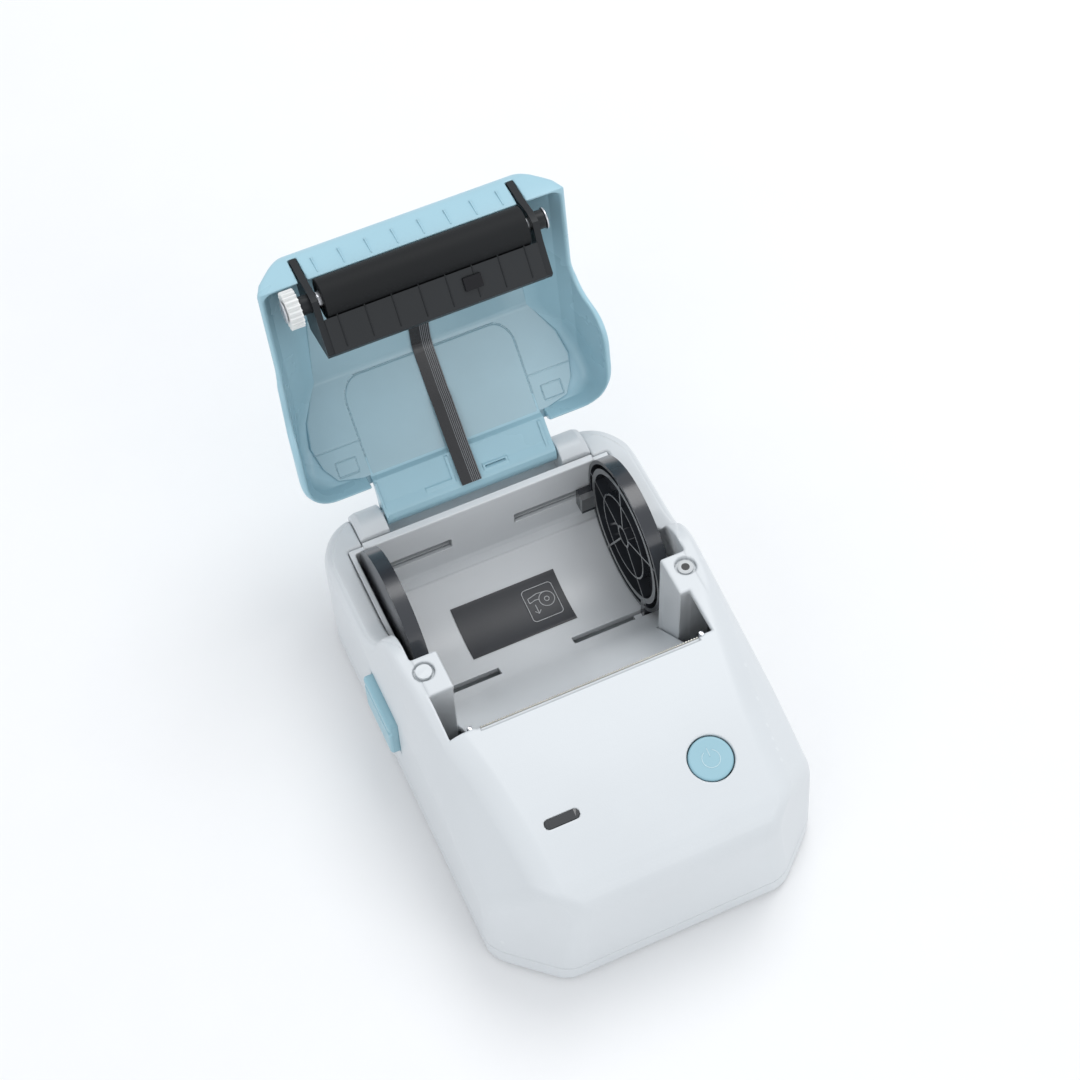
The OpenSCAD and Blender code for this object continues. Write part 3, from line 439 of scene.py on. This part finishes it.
def leaf_field(x, y, z):
    ax = np.abs(x)
    barrel = np.hypot(y - HINGE_Y, z - HINGE_Z) - BARREL_R
    f = rmin(outline(y, z, LEAF), barrel, 0.8)
    # low ridges on the face that the open lid shows
    face = (z - LEAF_REAR[1]) * math.cos(LEAF_ANGLE) + (y - LEAF_REAR[0]) * math.sin(LEAF_ANGLE)
    ridges = strip(x, y, -4.3, -3.5, 48.2, 52.9)
    for place in ((-11.4, -3.5, 52.4, 53.2), (4.0, 10.6, 52.0, 53.2), (20.7, 21.4, 48.2, 53.2),
                  (-BARREL_X, -22.2, 48.2, 55)):
        ridges = np.minimum(ridges, strip(x, y, *place))
    f = rmin(f, np.maximum(ridges, np.abs(face) - 0.45), 0.12)
    slit = strip(x, y, 4.6, 10.0, 52.4, 52.8)
    f = rmax(f, -np.maximum(slit, np.abs(face) - 0.8), 0.05)
    f = rmax(f, ax - BARREL_X, 0.3)
    pins = np.maximum(np.hypot(y - HINGE_Y, z - HINGE_Z) - 1.05, BARREL_X - 6 - ax)
    return rmax(f, -pins, 0.1)


def caps_field(x, y, z):
    """Covers of the hinge: crowned blocks that carry on the rear rim of the body."""
    ax = np.abs(x)
    fade = 1.2 * smooth(ax, 29.2, CAP_X)
    crown = np.hypot(y - 55.0, z - 29.8 + fade) - 5.5
    block = box(ax, y, z, (BARREL_X + 0.4, 51.0, SHELF_Z), (CAP_X - 0.15, 59.95, None))
    f = rmax(rmin(body_field(x, y, z), crown, 2.0), block, 0.35)
    return np.maximum(f, -(np.maximum(np.hypot(y - HINGE_Y, z - HINGE_Z) - 1, ax - CAP_X + 2)))


def side_button_field(x, y, z):
    cy, cz = sum(RELEASE_Y) / 2, sum(RELEASE_Z) / 2
    hy, hz = (RELEASE_Y[1] - RELEASE_Y[0]) / 2, (RELEASE_Z[1] - RELEASE_Z[0]) / 2
    stem = rmax(round_rect(y, z, cy, cz, hy, hz, 1.2), -HALF_W - 1.8 - x, 0.8)
    stem = np.maximum(stem, x + 39)
    flange = box(x, y, z, (-39.3, RELEASE_Y[0] - RELEASE_FLANGE, RELEASE_Z[0] - RELEASE_FLANGE),
                 (-38.5, RELEASE_Y[1] + RELEASE_FLANGE, RELEASE_Z[1] + RELEASE_FLANGE))
    flute = np.hypot(z - (RELEASE_Z[1] - 3.2), x + HALF_W + 1.95) - 0.75
    return rmin(rmax(stem, -np.maximum(flute, np.abs(y - cy) - hy - 1), 0.3), flange, 0.2)


def power_key_field(x, y, z):
    u, v, w = on_deck(x, y, z, POWER_AT)
    r = np.hypot(u, v)
    cap = np.maximum(rmax(r - POWER_R, w + 0.2, 0.5), -3.6 - w)
    flange = np.maximum(np.maximum(r - POWER_FLANGE_R, w + 2.7), -3.6 - w)
    stem = np.maximum(np.maximum(r - POWER_STEM_R, w + 3.5), -4.0 - w)
    return np.minimum(np.minimum(cap, flange), stem)


# ---- meshes from fields
MARGIN = 2.5                 # room round a field's box, in voxels
FIT_STEP, NORMAL_STEP = 0.08, 0.1
FIT_REACH = 0.4              # how far a point may move onto the surface, in voxels


def add_object(name, data):
    thing = bpy.data.objects.new(name, data)
    bpy.context.scene.collection.objects.link(thing)
    return thing


def mesh_from(name, field, low, high, voxel, limit=90000, place=None):
    """Mesh of a field's surface, drawn onto the exact surface with normals from its gradient.

    It is thinned to about limit triangles and then moved by the matrix place."""
    voxel *= FINE
    low = np.array(low, float) - MARGIN * voxel
    high = np.array(high, float) + MARGIN * voxel
    x, y, z = np.ogrid[low[0]:high[0]:voxel, low[1]:high[1]:voxel, low[2]:high[2]:voxel]
    x, y, z = (v.astype(np.float32) for v in (x, y, z))
    values = field(x, y, z) + 0 * (x + y + z)
    grid = openvdb.FloatGrid()
    grid.copyFromArray(np.ascontiguousarray(values, np.float32))
    grid.transform = openvdb.createLinearTransform(voxelSize=voxel)
    points, quads = grid.convertToQuads(isovalue=0.0)
    mesh = bpy.data.meshes.new(name)
    mesh.vertices.add(len(points))
    mesh.vertices.foreach_set("co", (points + low).astype(np.float32).ravel())
    mesh.loops.add(quads.size)
    mesh.loops.foreach_set("vertex_index", quads.astype(np.int32).ravel())
    mesh.polygons.add(len(quads))
    mesh.polygons.foreach_set("loop_start", np.arange(0, quads.size, 4, dtype=np.int32))
    mesh.update(calc_edges=True)
    thing = add_object(name, mesh)
    if 2 * len(quads) > limit:
        thin = thing.modifiers.new("thin", "DECIMATE")
        thin.ratio = limit / (2 * len(quads))
        mesh = bpy.data.meshes.new_from_object(thing.evaluated_get(bpy.context.evaluated_depsgraph_get()))
        thing.modifiers.clear()
        thing.data = mesh
    co = np.empty(len(mesh.vertices) * 3, np.float32)
    mesh.vertices.foreach_get("co", co)
    co = co.reshape(-1, 3)

    def gradient(p, eps):
        out = []
        for axis in range(3):
            step = np.zeros(3, np.float32)
            step[axis] = eps
            a, b = p + step, p - step
            out.append(field(a[:, 0], a[:, 1], a[:, 2]) - field(b[:, 0], b[:, 1], b[:, 2]))
        return np.stack(out, 1) / (2 * eps)

    for _ in range(2):
        g = gradient(co, FIT_STEP)
        steep = np.maximum((g * g).sum(1), 0.3)
        move = np.clip(field(co[:, 0], co[:, 1], co[:, 2]) / steep, -FIT_REACH * voxel, FIT_REACH * voxel)
        co = co - g * move[:, None]
    normals = gradient(co, NORMAL_STEP)
    normals /= np.maximum(np.linalg.norm(normals, axis=1), 1e-6)[:, None]
    matrix = np.array(place or Matrix.Identity(4))
    co = co @ matrix[:3, :3].T + matrix[:3, 3]
    normals = normals @ matrix[:3, :3].T
    mesh.vertices.foreach_set("co", (co * MM).astype(np.float32).ravel())
    mesh.polygons.foreach_set("use_smooth", np.ones(len(mesh.polygons), bool))
    mesh.update()
    mesh.normals_split_custom_set_from_vertices(normals.astype(np.float32).tolist())
    return thing


def piece(name, field, low, high, voxel, body, slot, look, node, place=None, limit=90000):
    """A piece drawn from its field in place of one CAD node."""
    thing = mesh_from(name, field, low, high, voxel, limit, place)
    thing.data.materials.append(look)
    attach(thing, body)
    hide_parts(node)


# ---- materials
def links(material):
    tree = material.node_tree
    return tree.nodes, tree.links


def ramp(nodes, low, high, a=(0, 0, 0, 1), b=(1, 1, 1, 1)):
    """Colour ramp from a at low to b at high."""
    r = nodes.new("ShaderNodeValToRGB")
    r.color_ramp.elements[0].position = low
    r.color_ramp.elements[1].position = high
    r.color_ramp.elements[0].color = a
    r.color_ramp.elements[1].color = b
    return r


UNEVEN = 0.06                # how far the roughness strays from its mean
BROAD = 45                   # scale of the broad texture per metre


def surface(name, colour, rough=0.4, metal=0.0, grain=900, bump=0.02, mottle=0.03, coat=0.0, specular=0.5,
            edge=0.0):
    """Moulded or metal finish: mottled colour, uneven roughness and a fine grain.

    grain is the scale of the fine texture per metre, bump its height in mm, mottle the change of
    colour across the surface and edge how much lighter the convex edges are, a painted highlight and wear."""
    material = bpy.data.materials.new(name)
    material.use_nodes = True
    nodes, wires = links(material)
    shader = nodes["Principled BSDF"]
    shader.inputs["Metallic"].default_value = metal
    shader.inputs["IOR"].default_value = 1.5
    shader.inputs["Specular IOR Level"].default_value = specular
    shader.inputs["Coat Weight"].default_value = coat
    shader.inputs["Coat Roughness"].default_value = 0.15
    where = nodes.new("ShaderNodeTexCoord")
    broad = nodes.new("ShaderNodeTexNoise")
    broad.inputs["Scale"].default_value = BROAD
    broad.inputs["Detail"].default_value = 4
    fine = nodes.new("ShaderNodeTexNoise")
    fine.inputs["Scale"].default_value = grain
    fine.inputs["Detail"].default_value = 3
    for texture in (broad, fine):
        wires.new(where.outputs["Object"], texture.inputs["Vector"])
    dark = tuple(c * (1 - mottle) for c in colour) + (1,)
    light = tuple(min(c * (1 + mottle), 1) for c in colour) + (1,)
    tint = ramp(nodes, 0.35, 0.65, dark, light)
    wires.new(broad.outputs["Fac"], tint.inputs["Fac"])
    out = tint.outputs["Color"]
    # convex edges, found by pointiness, are painted lighter: a painted highlight, partly wear
    if edge:
        geometry = nodes.new("ShaderNodeNewGeometry")
        edge_sheen_and_wear = ramp(nodes, 0.52, 0.60)
        mix = nodes.new("ShaderNodeMix")
        mix.data_type = "RGBA"
        wires.new(geometry.outputs["Pointiness"], edge_sheen_and_wear.inputs["Fac"])
        scale = nodes.new("ShaderNodeMath")
        scale.operation = "MULTIPLY"
        scale.inputs[1].default_value = edge
        wires.new(edge_sheen_and_wear.outputs["Color"], scale.inputs[0])
        wires.new(scale.outputs["Value"], mix.inputs["Factor"])
        wires.new(out, mix.inputs["A"])
        mix.inputs["B"].default_value = tuple(min(c * 1.3 + 0.12, 1) for c in colour) + (1,)
        out = mix.outputs["Result"]
    wires.new(out, shader.inputs["Base Color"])
    uneven = nodes.new("ShaderNodeMapRange")
    uneven.inputs["To Min"].default_value = rough - UNEVEN
    uneven.inputs["To Max"].default_value = rough + UNEVEN
    wires.new(broad.outputs["Fac"], uneven.inputs["Value"])
    wires.new(uneven.outputs["Result"], shader.inputs["Roughness"])
    relief = nodes.new("ShaderNodeBump")
    relief.inputs["Strength"].default_value = 1.0
    relief.inputs["Distance"].default_value = bump * MM
    wires.new(fine.outputs["Fac"], relief.inputs["Height"])
    wires.new(relief.outputs["Normal"], shader.inputs["Normal"])
    return material


def mix_colour(material, mask, colour):
    """Paints colour where the mask socket is 1."""
    nodes, wires = links(material)
    shader = nodes["Principled BSDF"]
    socket = shader.inputs["Base Color"]
    old = socket.links[0].from_socket
    mix = nodes.new("ShaderNodeMix")
    mix.data_type = "RGBA"
    wires.new(mask, mix.inputs["Factor"])
    wires.new(old, mix.inputs["A"])
    mix.inputs["B"].default_value = tuple(colour) + (1,)
    wires.new(mix.outputs["Result"], socket)


# edge sets how much lighter the convex edges are painted: a painted highlight and wear
WHITE = surface("white_moulding", (0.665, 0.692, 0.71),
                rough=0.36, grain=2600, bump=0.010, mottle=0.012, edge=0.12)
GREY = surface("grey_moulding", (0.765, 0.785, 0.80),
               rough=0.33, grain=2600, bump=0.012, mottle=0.015, edge=0.10)
BLUE = surface("blue_moulding", (0.36, 0.575, 0.665),
               rough=0.28, grain=2200, bump=0.006, mottle=0.02, coat=0.25)
LINER = surface("liner_sheet", (0.34, 0.51, 0.58), rough=0.16, grain=900, bump=0.006, mottle=0.035, coat=0.5)
KEY_BLUE = surface("key_blue", (0.31, 0.52, 0.60), rough=0.34, grain=2600, bump=0.006, mottle=0.02, edge=0.2)
BLACK = surface("black_moulding", (0.010, 0.012, 0.014),
                rough=0.42, grain=2400, bump=0.012, mottle=0.1, specular=0.3, edge=0.08)
GUIDE = surface("guide_moulding", (0.007, 0.010, 0.016),
                rough=0.24, grain=1800, bump=0.006, mottle=0.12, coat=0.3, edge=0.2)
RUBBER = surface("platen_rubber", (0.009, 0.010, 0.011),
                 rough=0.62, grain=5200, bump=0.03, mottle=0.12, specular=0.25)
FOOT = surface("foot_rubber", (0.03, 0.03, 0.03), rough=0.8, grain=2600, bump=0.05, mottle=0.1)
STEEL = surface("bare_steel", (0.62, 0.63, 0.65), rough=0.28, metal=1, grain=1600, bump=0.006, mottle=0.06)
# plated steel with a darkened colour: painted shade for the dark reflections of the latch hooks in their
# notch
CHROME = surface("plated_steel", (0.45, 0.46, 0.48), rough=0.16, metal=1, grain=900, bump=0.004, mottle=0.05)
BLADE = surface("tear_blade", (0.66, 0.64, 0.58), rough=0.3, metal=1, grain=2400, bump=0.004, mottle=0.06)
ALUMINIUM = surface("aluminium", (0.75, 0.76, 0.77), rough=0.35, metal=1, grain=2200, bump=0.01, mottle=0.05)
CERAMIC = surface("head_ceramic", (0.20, 0.13, 0.10),
                  rough=0.18, grain=1600, bump=0.004, mottle=0.06, coat=0.4)
CAN = surface("motor_can", (0.35, 0.36, 0.38), rough=0.35, metal=0.9, grain=1800, bump=0.01, mottle=0.06)
BRASS = surface("brass", (0.75, 0.58, 0.28), rough=0.25, metal=1, grain=1600, bump=0.006, mottle=0.05)
ACETAL = surface("acetal", (0.80, 0.81, 0.80), rough=0.34, grain=2200, bump=0.006, mottle=0.02, edge=0.1)
BOARD = surface("board", (0.02, 0.13, 0.06), rough=0.3, grain=1400, bump=0.02, mottle=0.25, coat=0.3)
WRAP = surface("battery_wrap", (0.06, 0.17, 0.38), rough=0.22, grain=900, bump=0.01, mottle=0.05, coat=0.3)
LENS = surface("smoked_lens", (0.035, 0.037, 0.04), rough=0.2, grain=1800, bump=0.003, mottle=0.1, coat=0.3)
LABEL = surface("label_film", (0.042, 0.044, 0.050), rough=0.42, grain=3000, bump=0.004, mottle=0.05)
INK = surface("label_ink", (0.62, 0.63, 0.64), rough=0.5, grain=2200, bump=0.004, mottle=0.04)
PALE = surface("pale_print", (0.50, 0.68, 0.74), rough=0.4, grain=2200, bump=0.004, mottle=0.03)
WINDOW = surface("sensor_window", (0.004, 0.004, 0.006),
                 rough=0.3, grain=1200, bump=0.003, mottle=0.1, specular=0.2)
RIBBON = surface("flat_cable", (0.010, 0.010, 0.012),
                 rough=0.26, grain=1500, bump=0.004, mottle=0.12, coat=0.35)


def object_axes(material):
    """Sockets of the object's own x, y and z, in metres."""
    nodes, wires = links(material)
    where = nodes.new("ShaderNodeTexCoord")
    split = nodes.new("ShaderNodeSeparateXYZ")
    wires.new(where.outputs["Object"], split.inputs["Vector"])
    return split.outputs["X"], split.outputs["Y"], split.outputs["Z"]


def math_node(material, kind, a, b=None):
    """Result of a maths node on sockets or numbers."""
    nodes, wires = links(material)
    n = nodes.new("ShaderNodeMath")
    n.operation = kind
    for socket, v in zip(n.inputs, (a, b)):
        if isinstance(v, (int, float)):
            socket.default_value = v
        elif v is not None:
            wires.new(v, socket)
    return n.outputs["Value"]


def within(material, u, v, cu, cv, r):
    """Mask of a disc of radius r, in mm, round (cu, cv)."""
    du = math_node(material, "SUBTRACT", u, cu * MM)
    dv = math_node(material, "SUBTRACT", v, cv * MM)
    du_squared = math_node(material, "MULTIPLY", du, du)
    dv_squared = math_node(material, "MULTIPLY", dv, dv)
    distance_squared = math_node(material, "ADD", du_squared, dv_squared)
    return math_node(material, "LESS_THAN", distance_squared, (r * MM) ** 2)


def rib_tops_sheen_and_wear(material, colour):
    """Paler tops of the ribs on the dished face of a guide: a painted highlight along the rib tops, and wear.
    """
    x, y, z = object_axes(material)
    top = math_node(material, "LESS_THAN", math_node(material, "ABSOLUTE", x), (GUIDE_X0 + 0.06) * MM)
    disc = within(material, y, z, GUIDE_Y, GUIDE_Z, GUIDE_R - 1.6)
    mix_colour(material, math_node(material, "MULTIPLY", top, disc), colour)


def conductors(material, colour):
    """Five conductors along one half of the flat cable."""
    x = object_axes(material)[0]
    steps = math_node(material, "DIVIDE", math_node(material, "SUBTRACT", x, 0.1 * MM), 0.46 * MM)
    line = math_node(material, "LESS_THAN", math_node(material, "FRACT", steps), 0.32)
    right_half = math_node(material, "GREATER_THAN", x, 0.1 * MM)
    mix_colour(material, math_node(material, "MULTIPLY", line, right_half), colour)


def painted_socket_shade(material, colour):
    """Dark disc of painted shade for the drive socket in the middle of each pillar screw."""
    x, y = object_axes(material)[:2]
    side = math_node(material, "ABSOLUTE", x)
    mix_colour(material, within(material, side, y, *PILLAR_SCREW, SCREW_HOLE_R), colour)


SCREW_HEAD = surface("painted_head", (0.55, 0.57, 0.58), rough=0.4, grain=2200, bump=0.01, mottle=0.04)
# painted highlight and wear on the guides' rib tops
rib_tops_sheen_and_wear(GUIDE, (0.16, 0.165, 0.17))
conductors(RIBBON, (0.20, 0.21, 0.22))
# painted shade in the drive sockets of the pillar screws
painted_socket_shade(SCREW_HEAD, (0.01, 0.01, 0.012))

# ---- shells, in place of the plain CAD solids: each call gives the box to search and the voxel, in mm
CASING = ("body", "white_plastic", WHITE)
BIN = ("body", "grey_plastic", GREY)
LID = ("lid", "blue_plastic", BLUE)
SHEET = ("lid", "pale_panel", LINER)
piece("casing_top", top_shell_field, (-HALF_W, -HALF_L, SEAM_Z), (HALF_W, HALF_L, DECK_Z), 0.42,
      *CASING, "top_shell", limit=190000)
piece("casing_base", base_shell_field, (-HALF_W, -HALF_L, 0), (HALF_W, HALF_L, SEAM_Z), 0.5,
      *CASING, "base_shell", limit=70000)
piece("bin", bin_field, (-BIN_X, BIN_FRONT_Y, 3), (BIN_X, BEAM_Y, BIN_LIP_Z), 0.36,
      *BIN, "paper_bin", limit=150000)
piece("hinge_covers", caps_field, (-CAP_X, 51, SHELF_Z), (CAP_X, 60, 35.4), 0.22,
      *CASING, "hinge_caps", limit=40000)
piece("lid_casing", lid_shell_field, (-LID_HALF_W, LID_FRONT_Y, RIM_LO), (LID_HALF_W, LID_REAR_Y, ROOF_Z),
      0.4, *LID, "lid_shell", OPEN_LID, 180000)
piece("lid_liner", liner_field, (-34.5, 5, 38), (34.5, 47.8, 56), 0.22, *SHEET, "lid_panel", OPEN_LID)
piece("hinge_leaf", leaf_field, (-BARREL_X, LEAF_Y, 30), (BARREL_X, 59.2, 43.6), 0.22,
      *LID, "hinge_plate", OPEN_LID)
piece("side_key", side_button_field, (-44, 2, 12.5), (-38.5, 21, 28.5), 0.2,
      "release_button", "button_blue", KEY_BLUE, "release_button", limit=40000)
piece("power_key", power_key_field, (10, -49.5, 38.5), (23.6, -35, 46), 0.16,
      "power_button", "button_blue", KEY_BLUE, "power_button", limit=70000)

# ---- ribs on the lip and on the sensor panel
RIB_FOOT, RIB_TOP, RIB_SUNK = 0.22, 0.10, 0.2      # half widths, and how far the foot is sunk


def ribs(name, start, end, height, look):
    """Slender tapered ribs at every pitch; each runs from start to end, (y, z) in the closed lid."""
    along = Vector((0, end[0] - start[0], end[1] - start[1])).normalized()
    out = Vector((0, along.z, -along.y))
    if out.z > 0:
        out = -out
    points, faces = [], []
    for k in range(RIB_COUNT):
        x = (k - (RIB_COUNT - 1) / 2) * RIB_PITCH
        first = len(points)
        for (y, z), inset in ((start, 0.5), (end, -0.5)):
            section = ((-RIB_FOOT, -RIB_SUNK, 0), (-RIB_TOP, height, inset), (RIB_TOP, height, inset),
                       (RIB_FOOT, -RIB_SUNK, 0))
            for dx, rise, shift in section:
                points.append(OPEN_LID @ (Vector((x + dx, y, z)) + out * rise + along * shift) * MM)
        a, b = first, first + 4
        faces += [(a + i, a + i + 1, b + i + 1, b + i) for i in range(3)]
        faces += [(a, a + 3, a + 2, a + 1), (b, b + 1, b + 2, b + 3)]
    mesh = bpy.data.meshes.new(name)
    mesh.from_pydata(points, [], faces)
    mesh.update()
    thing = add_object(name, mesh)
    soften = thing.modifiers.new("edges", "BEVEL")
    soften.width = 0.05 * MM
    soften.segments = 2
    mesh.materials.append(look)
    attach(thing, "lid")


ribs("lip_ribs", (LID_FRONT_Y + 0.15, 52.0), (LID_FRONT_Y + 1.2, 47.0), 0.22, BLUE)
ribs("panel_ribs", (-8.6, 36.85), (-1.5, 32.69), 0.16, BLACK)

# ---- pictogram on the label: a rounded frame with a roll, its strip and an arrow
MARK_R = CRADLE_R - 0.22                       # radius of the label's upper surface


def on_label(u, s):
    """Place on the label's film: u across the bin, s along the curve from the lowest line."""
    a = s / MARK_R
    return (u * MM, (CRADLE_Y + MARK_R * math.sin(a)) * MM, (CRADLE_Z - MARK_R * math.cos(a)) * MM)


BORDER = (arc(11.2, 7.4, 1, 0, 90, 5) + arc(5.0, 7.4, 1, 90, 180, 5) + arc(5.0, 0.3, 1, 180, 270, 5)
          + arc(11.2, 0.3, 1, 270, 360, 5) + [(12.2, 7.4)])
ROLL_AT = (9.6, 4.4)
MARKS = [BORDER, arc(*ROLL_AT, 2.0, 0, 360, 24), arc(*ROLL_AT, 0.6, 0, 360, 24),
         [(9.6, 6.4), (7.6, 6.6), (5.0, 6.0)], [(7.7, 5.0), (6.6, 5.1), (5.0, 4.7)], [(5.0, 6.0), (5.0, 4.7)],
         [(6.2, 3.9), (6.2, 1.4)], [(5.4, 2.2), (6.2, 1.3), (7.0, 2.2)]]


def printed(name, lines, place, width, look, body):
    """Thin printed lines; place turns a point of a line into metres."""
    curve = bpy.data.curves.new(name, "CURVE")
    curve.dimensions = "3D"
    curve.bevel_depth = width / 2 * MM
    curve.bevel_resolution = 1
    for line in lines:
        spline = curve.splines.new("POLY")
        spline.points.add(len(line) - 1)
        for point, (u, v) in zip(spline.points, line):
            point.co = tuple(place(u, v)) + (1,)
    thing = add_object(name, curve)
    curve.materials.append(look)
    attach(thing, body)


printed("label_pictogram", MARKS, on_label, 0.22, INK, "body")

# ---- power symbol on the key
KEY_FRAME = deck_frame(POWER_AT)
KEY_TOP = -0.22
printed("power_symbol", [arc(0, -0.1, 2.1, 118, 422, 36), [(0, 0.5), (0, 2.5)]],
        lambda u, v: KEY_FRAME @ Vector((u, v, KEY_TOP)) * MM, 0.3, PALE, "power_button")

# ---- finishes of the CAD solids that stay
FINISH = {
    STEEL: ["case_screws", "hinge_pins", "head_springs", "usb_port", "gear_plate", "gear_posts",
            "bracket_screws", "platen_shaft", "shaft_clips", "latch_spring", "motor_shaft"],
    BLADE: ["tear_bar"],
    CERAMIC: ["print_head"],
    ALUMINIUM: ["head_heatsink"],
    FOOT: ["feet"],
    LABEL: ["bin_label"],
    BOARD: ["main_board", "port_board", "control_board"],
    WRAP: ["battery"],
    CAN: ["drive_motor"],
    LENS: ["indicator_lens"],
    BLACK: ["power_switch", "platen_bracket", "platen_bushes"],
    SCREW_HEAD: ["pillar_screws"],
    WHITE: ["screw_plug", "latch_blocks"],
    WINDOW: ["gap_sensor"],
    RIBBON: ["sensor_ribbon"],
    RUBBER: ["platen_rubber"],
    ACETAL: ["platen_gear", "guide_pinion", "transfer_gear", "idler_gear"],
    GUIDE: ["left_guide", "right_guide"],
    GREY: ["left_slider", "right_slider"],
    CHROME: ["latch_shaft", "latch_hooks"],
    BRASS: ["motor_pinion"],
}
EDGE_RADIUS = {"platen_bracket": 0.25, "left_guide": 0.22, "right_guide": 0.22, "latch_hooks": 0.18,
               "tear_bar": 0.0, "bin_label": 0.0, "platen_gear": 0.05, "screw_plug": 0.15,
               "sensor_ribbon": 0.06}
PLAIN_EDGE = 0.1


def finish_node(node, look):
    """Material, softened edges and smooth shading for a CAD solid, its mesh unchanged."""
    thing = NODES[node]
    thing.data.materials.clear()
    thing.data.materials.append(look)
    weld = thing.modifiers.new("weld", "WELD")
    weld.merge_threshold = 0.002 * MM
    width = EDGE_RADIUS.get(node, PLAIN_EDGE)
    if width:
        edges = thing.modifiers.new("edges", "BEVEL")
        edges.width = width * MM
        edges.segments = 2
        edges.limit_method = "ANGLE"
        edges.angle_limit = math.radians(40)
    thing.data.polygons.foreach_set("use_smooth", np.ones(len(thing.data.polygons), bool))
    even = thing.modifiers.new("even", "WEIGHTED_NORMAL")
    even.keep_sharp = True
    even.weight = 60
    thing.data.update()


for look, names in FINISH.items():
    for node in names:
        finish_node(node, look)

# ---- camera, lights and floor
AIM = Vector((9.45, 34.47, 30.0)) * MM
AZIMUTH, ELEVATION, ROLL = (math.radians(v) for v in (-21.902, 56.335, -3.110))
DISTANCE = 545.6 * MM
back = Vector((math.sin(AZIMUTH) * math.cos(ELEVATION), -math.cos(AZIMUTH) * math.cos(ELEVATION),
               math.sin(ELEVATION)))
right = Vector((math.cos(AZIMUTH), math.sin(AZIMUTH), 0))
up = back.cross(right)
tilted_right = math.cos(ROLL) * right + math.sin(ROLL) * up
tilted_up = -math.sin(ROLL) * right + math.cos(ROLL) * up
camera_data = bpy.data.cameras.new("camera")
camera_data.lens = 74.46
camera_data.sensor_width = 36
camera_data.clip_start = 0.01
camera = add_object("camera", camera_data)
camera_axes = Matrix((tilted_right, tilted_up, back)).transposed().to_4x4()
camera.matrix_world = Matrix.Translation(AIM + back * DISTANCE) @ camera_axes
bpy.context.scene.camera = camera


def area_light(name, place, target, size, watts):
    data = bpy.data.lights.new(name, "AREA")
    data.shape = "DISK"
    data.size = size
    data.energy = watts
    light = add_object(name, data)
    light.location = place
    light.rotation_euler = (Vector(target) - Vector(place)).to_track_quat("-Z", "Y").to_euler()


CENTRE = (0, 0.02, 0.03)
area_light("key", (0.35, 0.30, 0.95), CENTRE, 0.6, 3.5)
area_light("fill", (-0.9, -0.6, 0.7), CENTRE, 0.9, 1.8)
area_light("front", (0.5, -1.0, 0.6), CENTRE, 0.8, 1.7)
world = bpy.data.worlds.new("studio")
world.use_nodes = True
backdrop = world.node_tree.nodes["Background"]
backdrop.inputs["Color"].default_value = (0.93, 0.96, 1.0, 1)
backdrop.inputs["Strength"].default_value = 0.80
bpy.context.scene.world = world
bpy.context.scene.view_settings.view_transform = "Standard"

FLOOR_HALF = 3.0
FLOOR_DROP = 0.02 * MM                         # below the feet, so that they don't share a plane
floor_mesh = bpy.data.meshes.new("floor")
floor_corners = [(-FLOOR_HALF, -FLOOR_HALF, 0), (FLOOR_HALF, -FLOOR_HALF, 0), (FLOOR_HALF, FLOOR_HALF, 0),
                 (-FLOOR_HALF, FLOOR_HALF, 0)]
floor_mesh.from_pydata(floor_corners, [], [(0, 1, 2, 3)])
floor = add_object("floor", floor_mesh)
floor.location.z = -FLOOR_DROP
floor_mesh.materials.append(surface("floor_paper", (0.90, 0.90, 0.90), rough=0.85, grain=300, bump=0.02,
                                    mottle=0.004, specular=0.2))
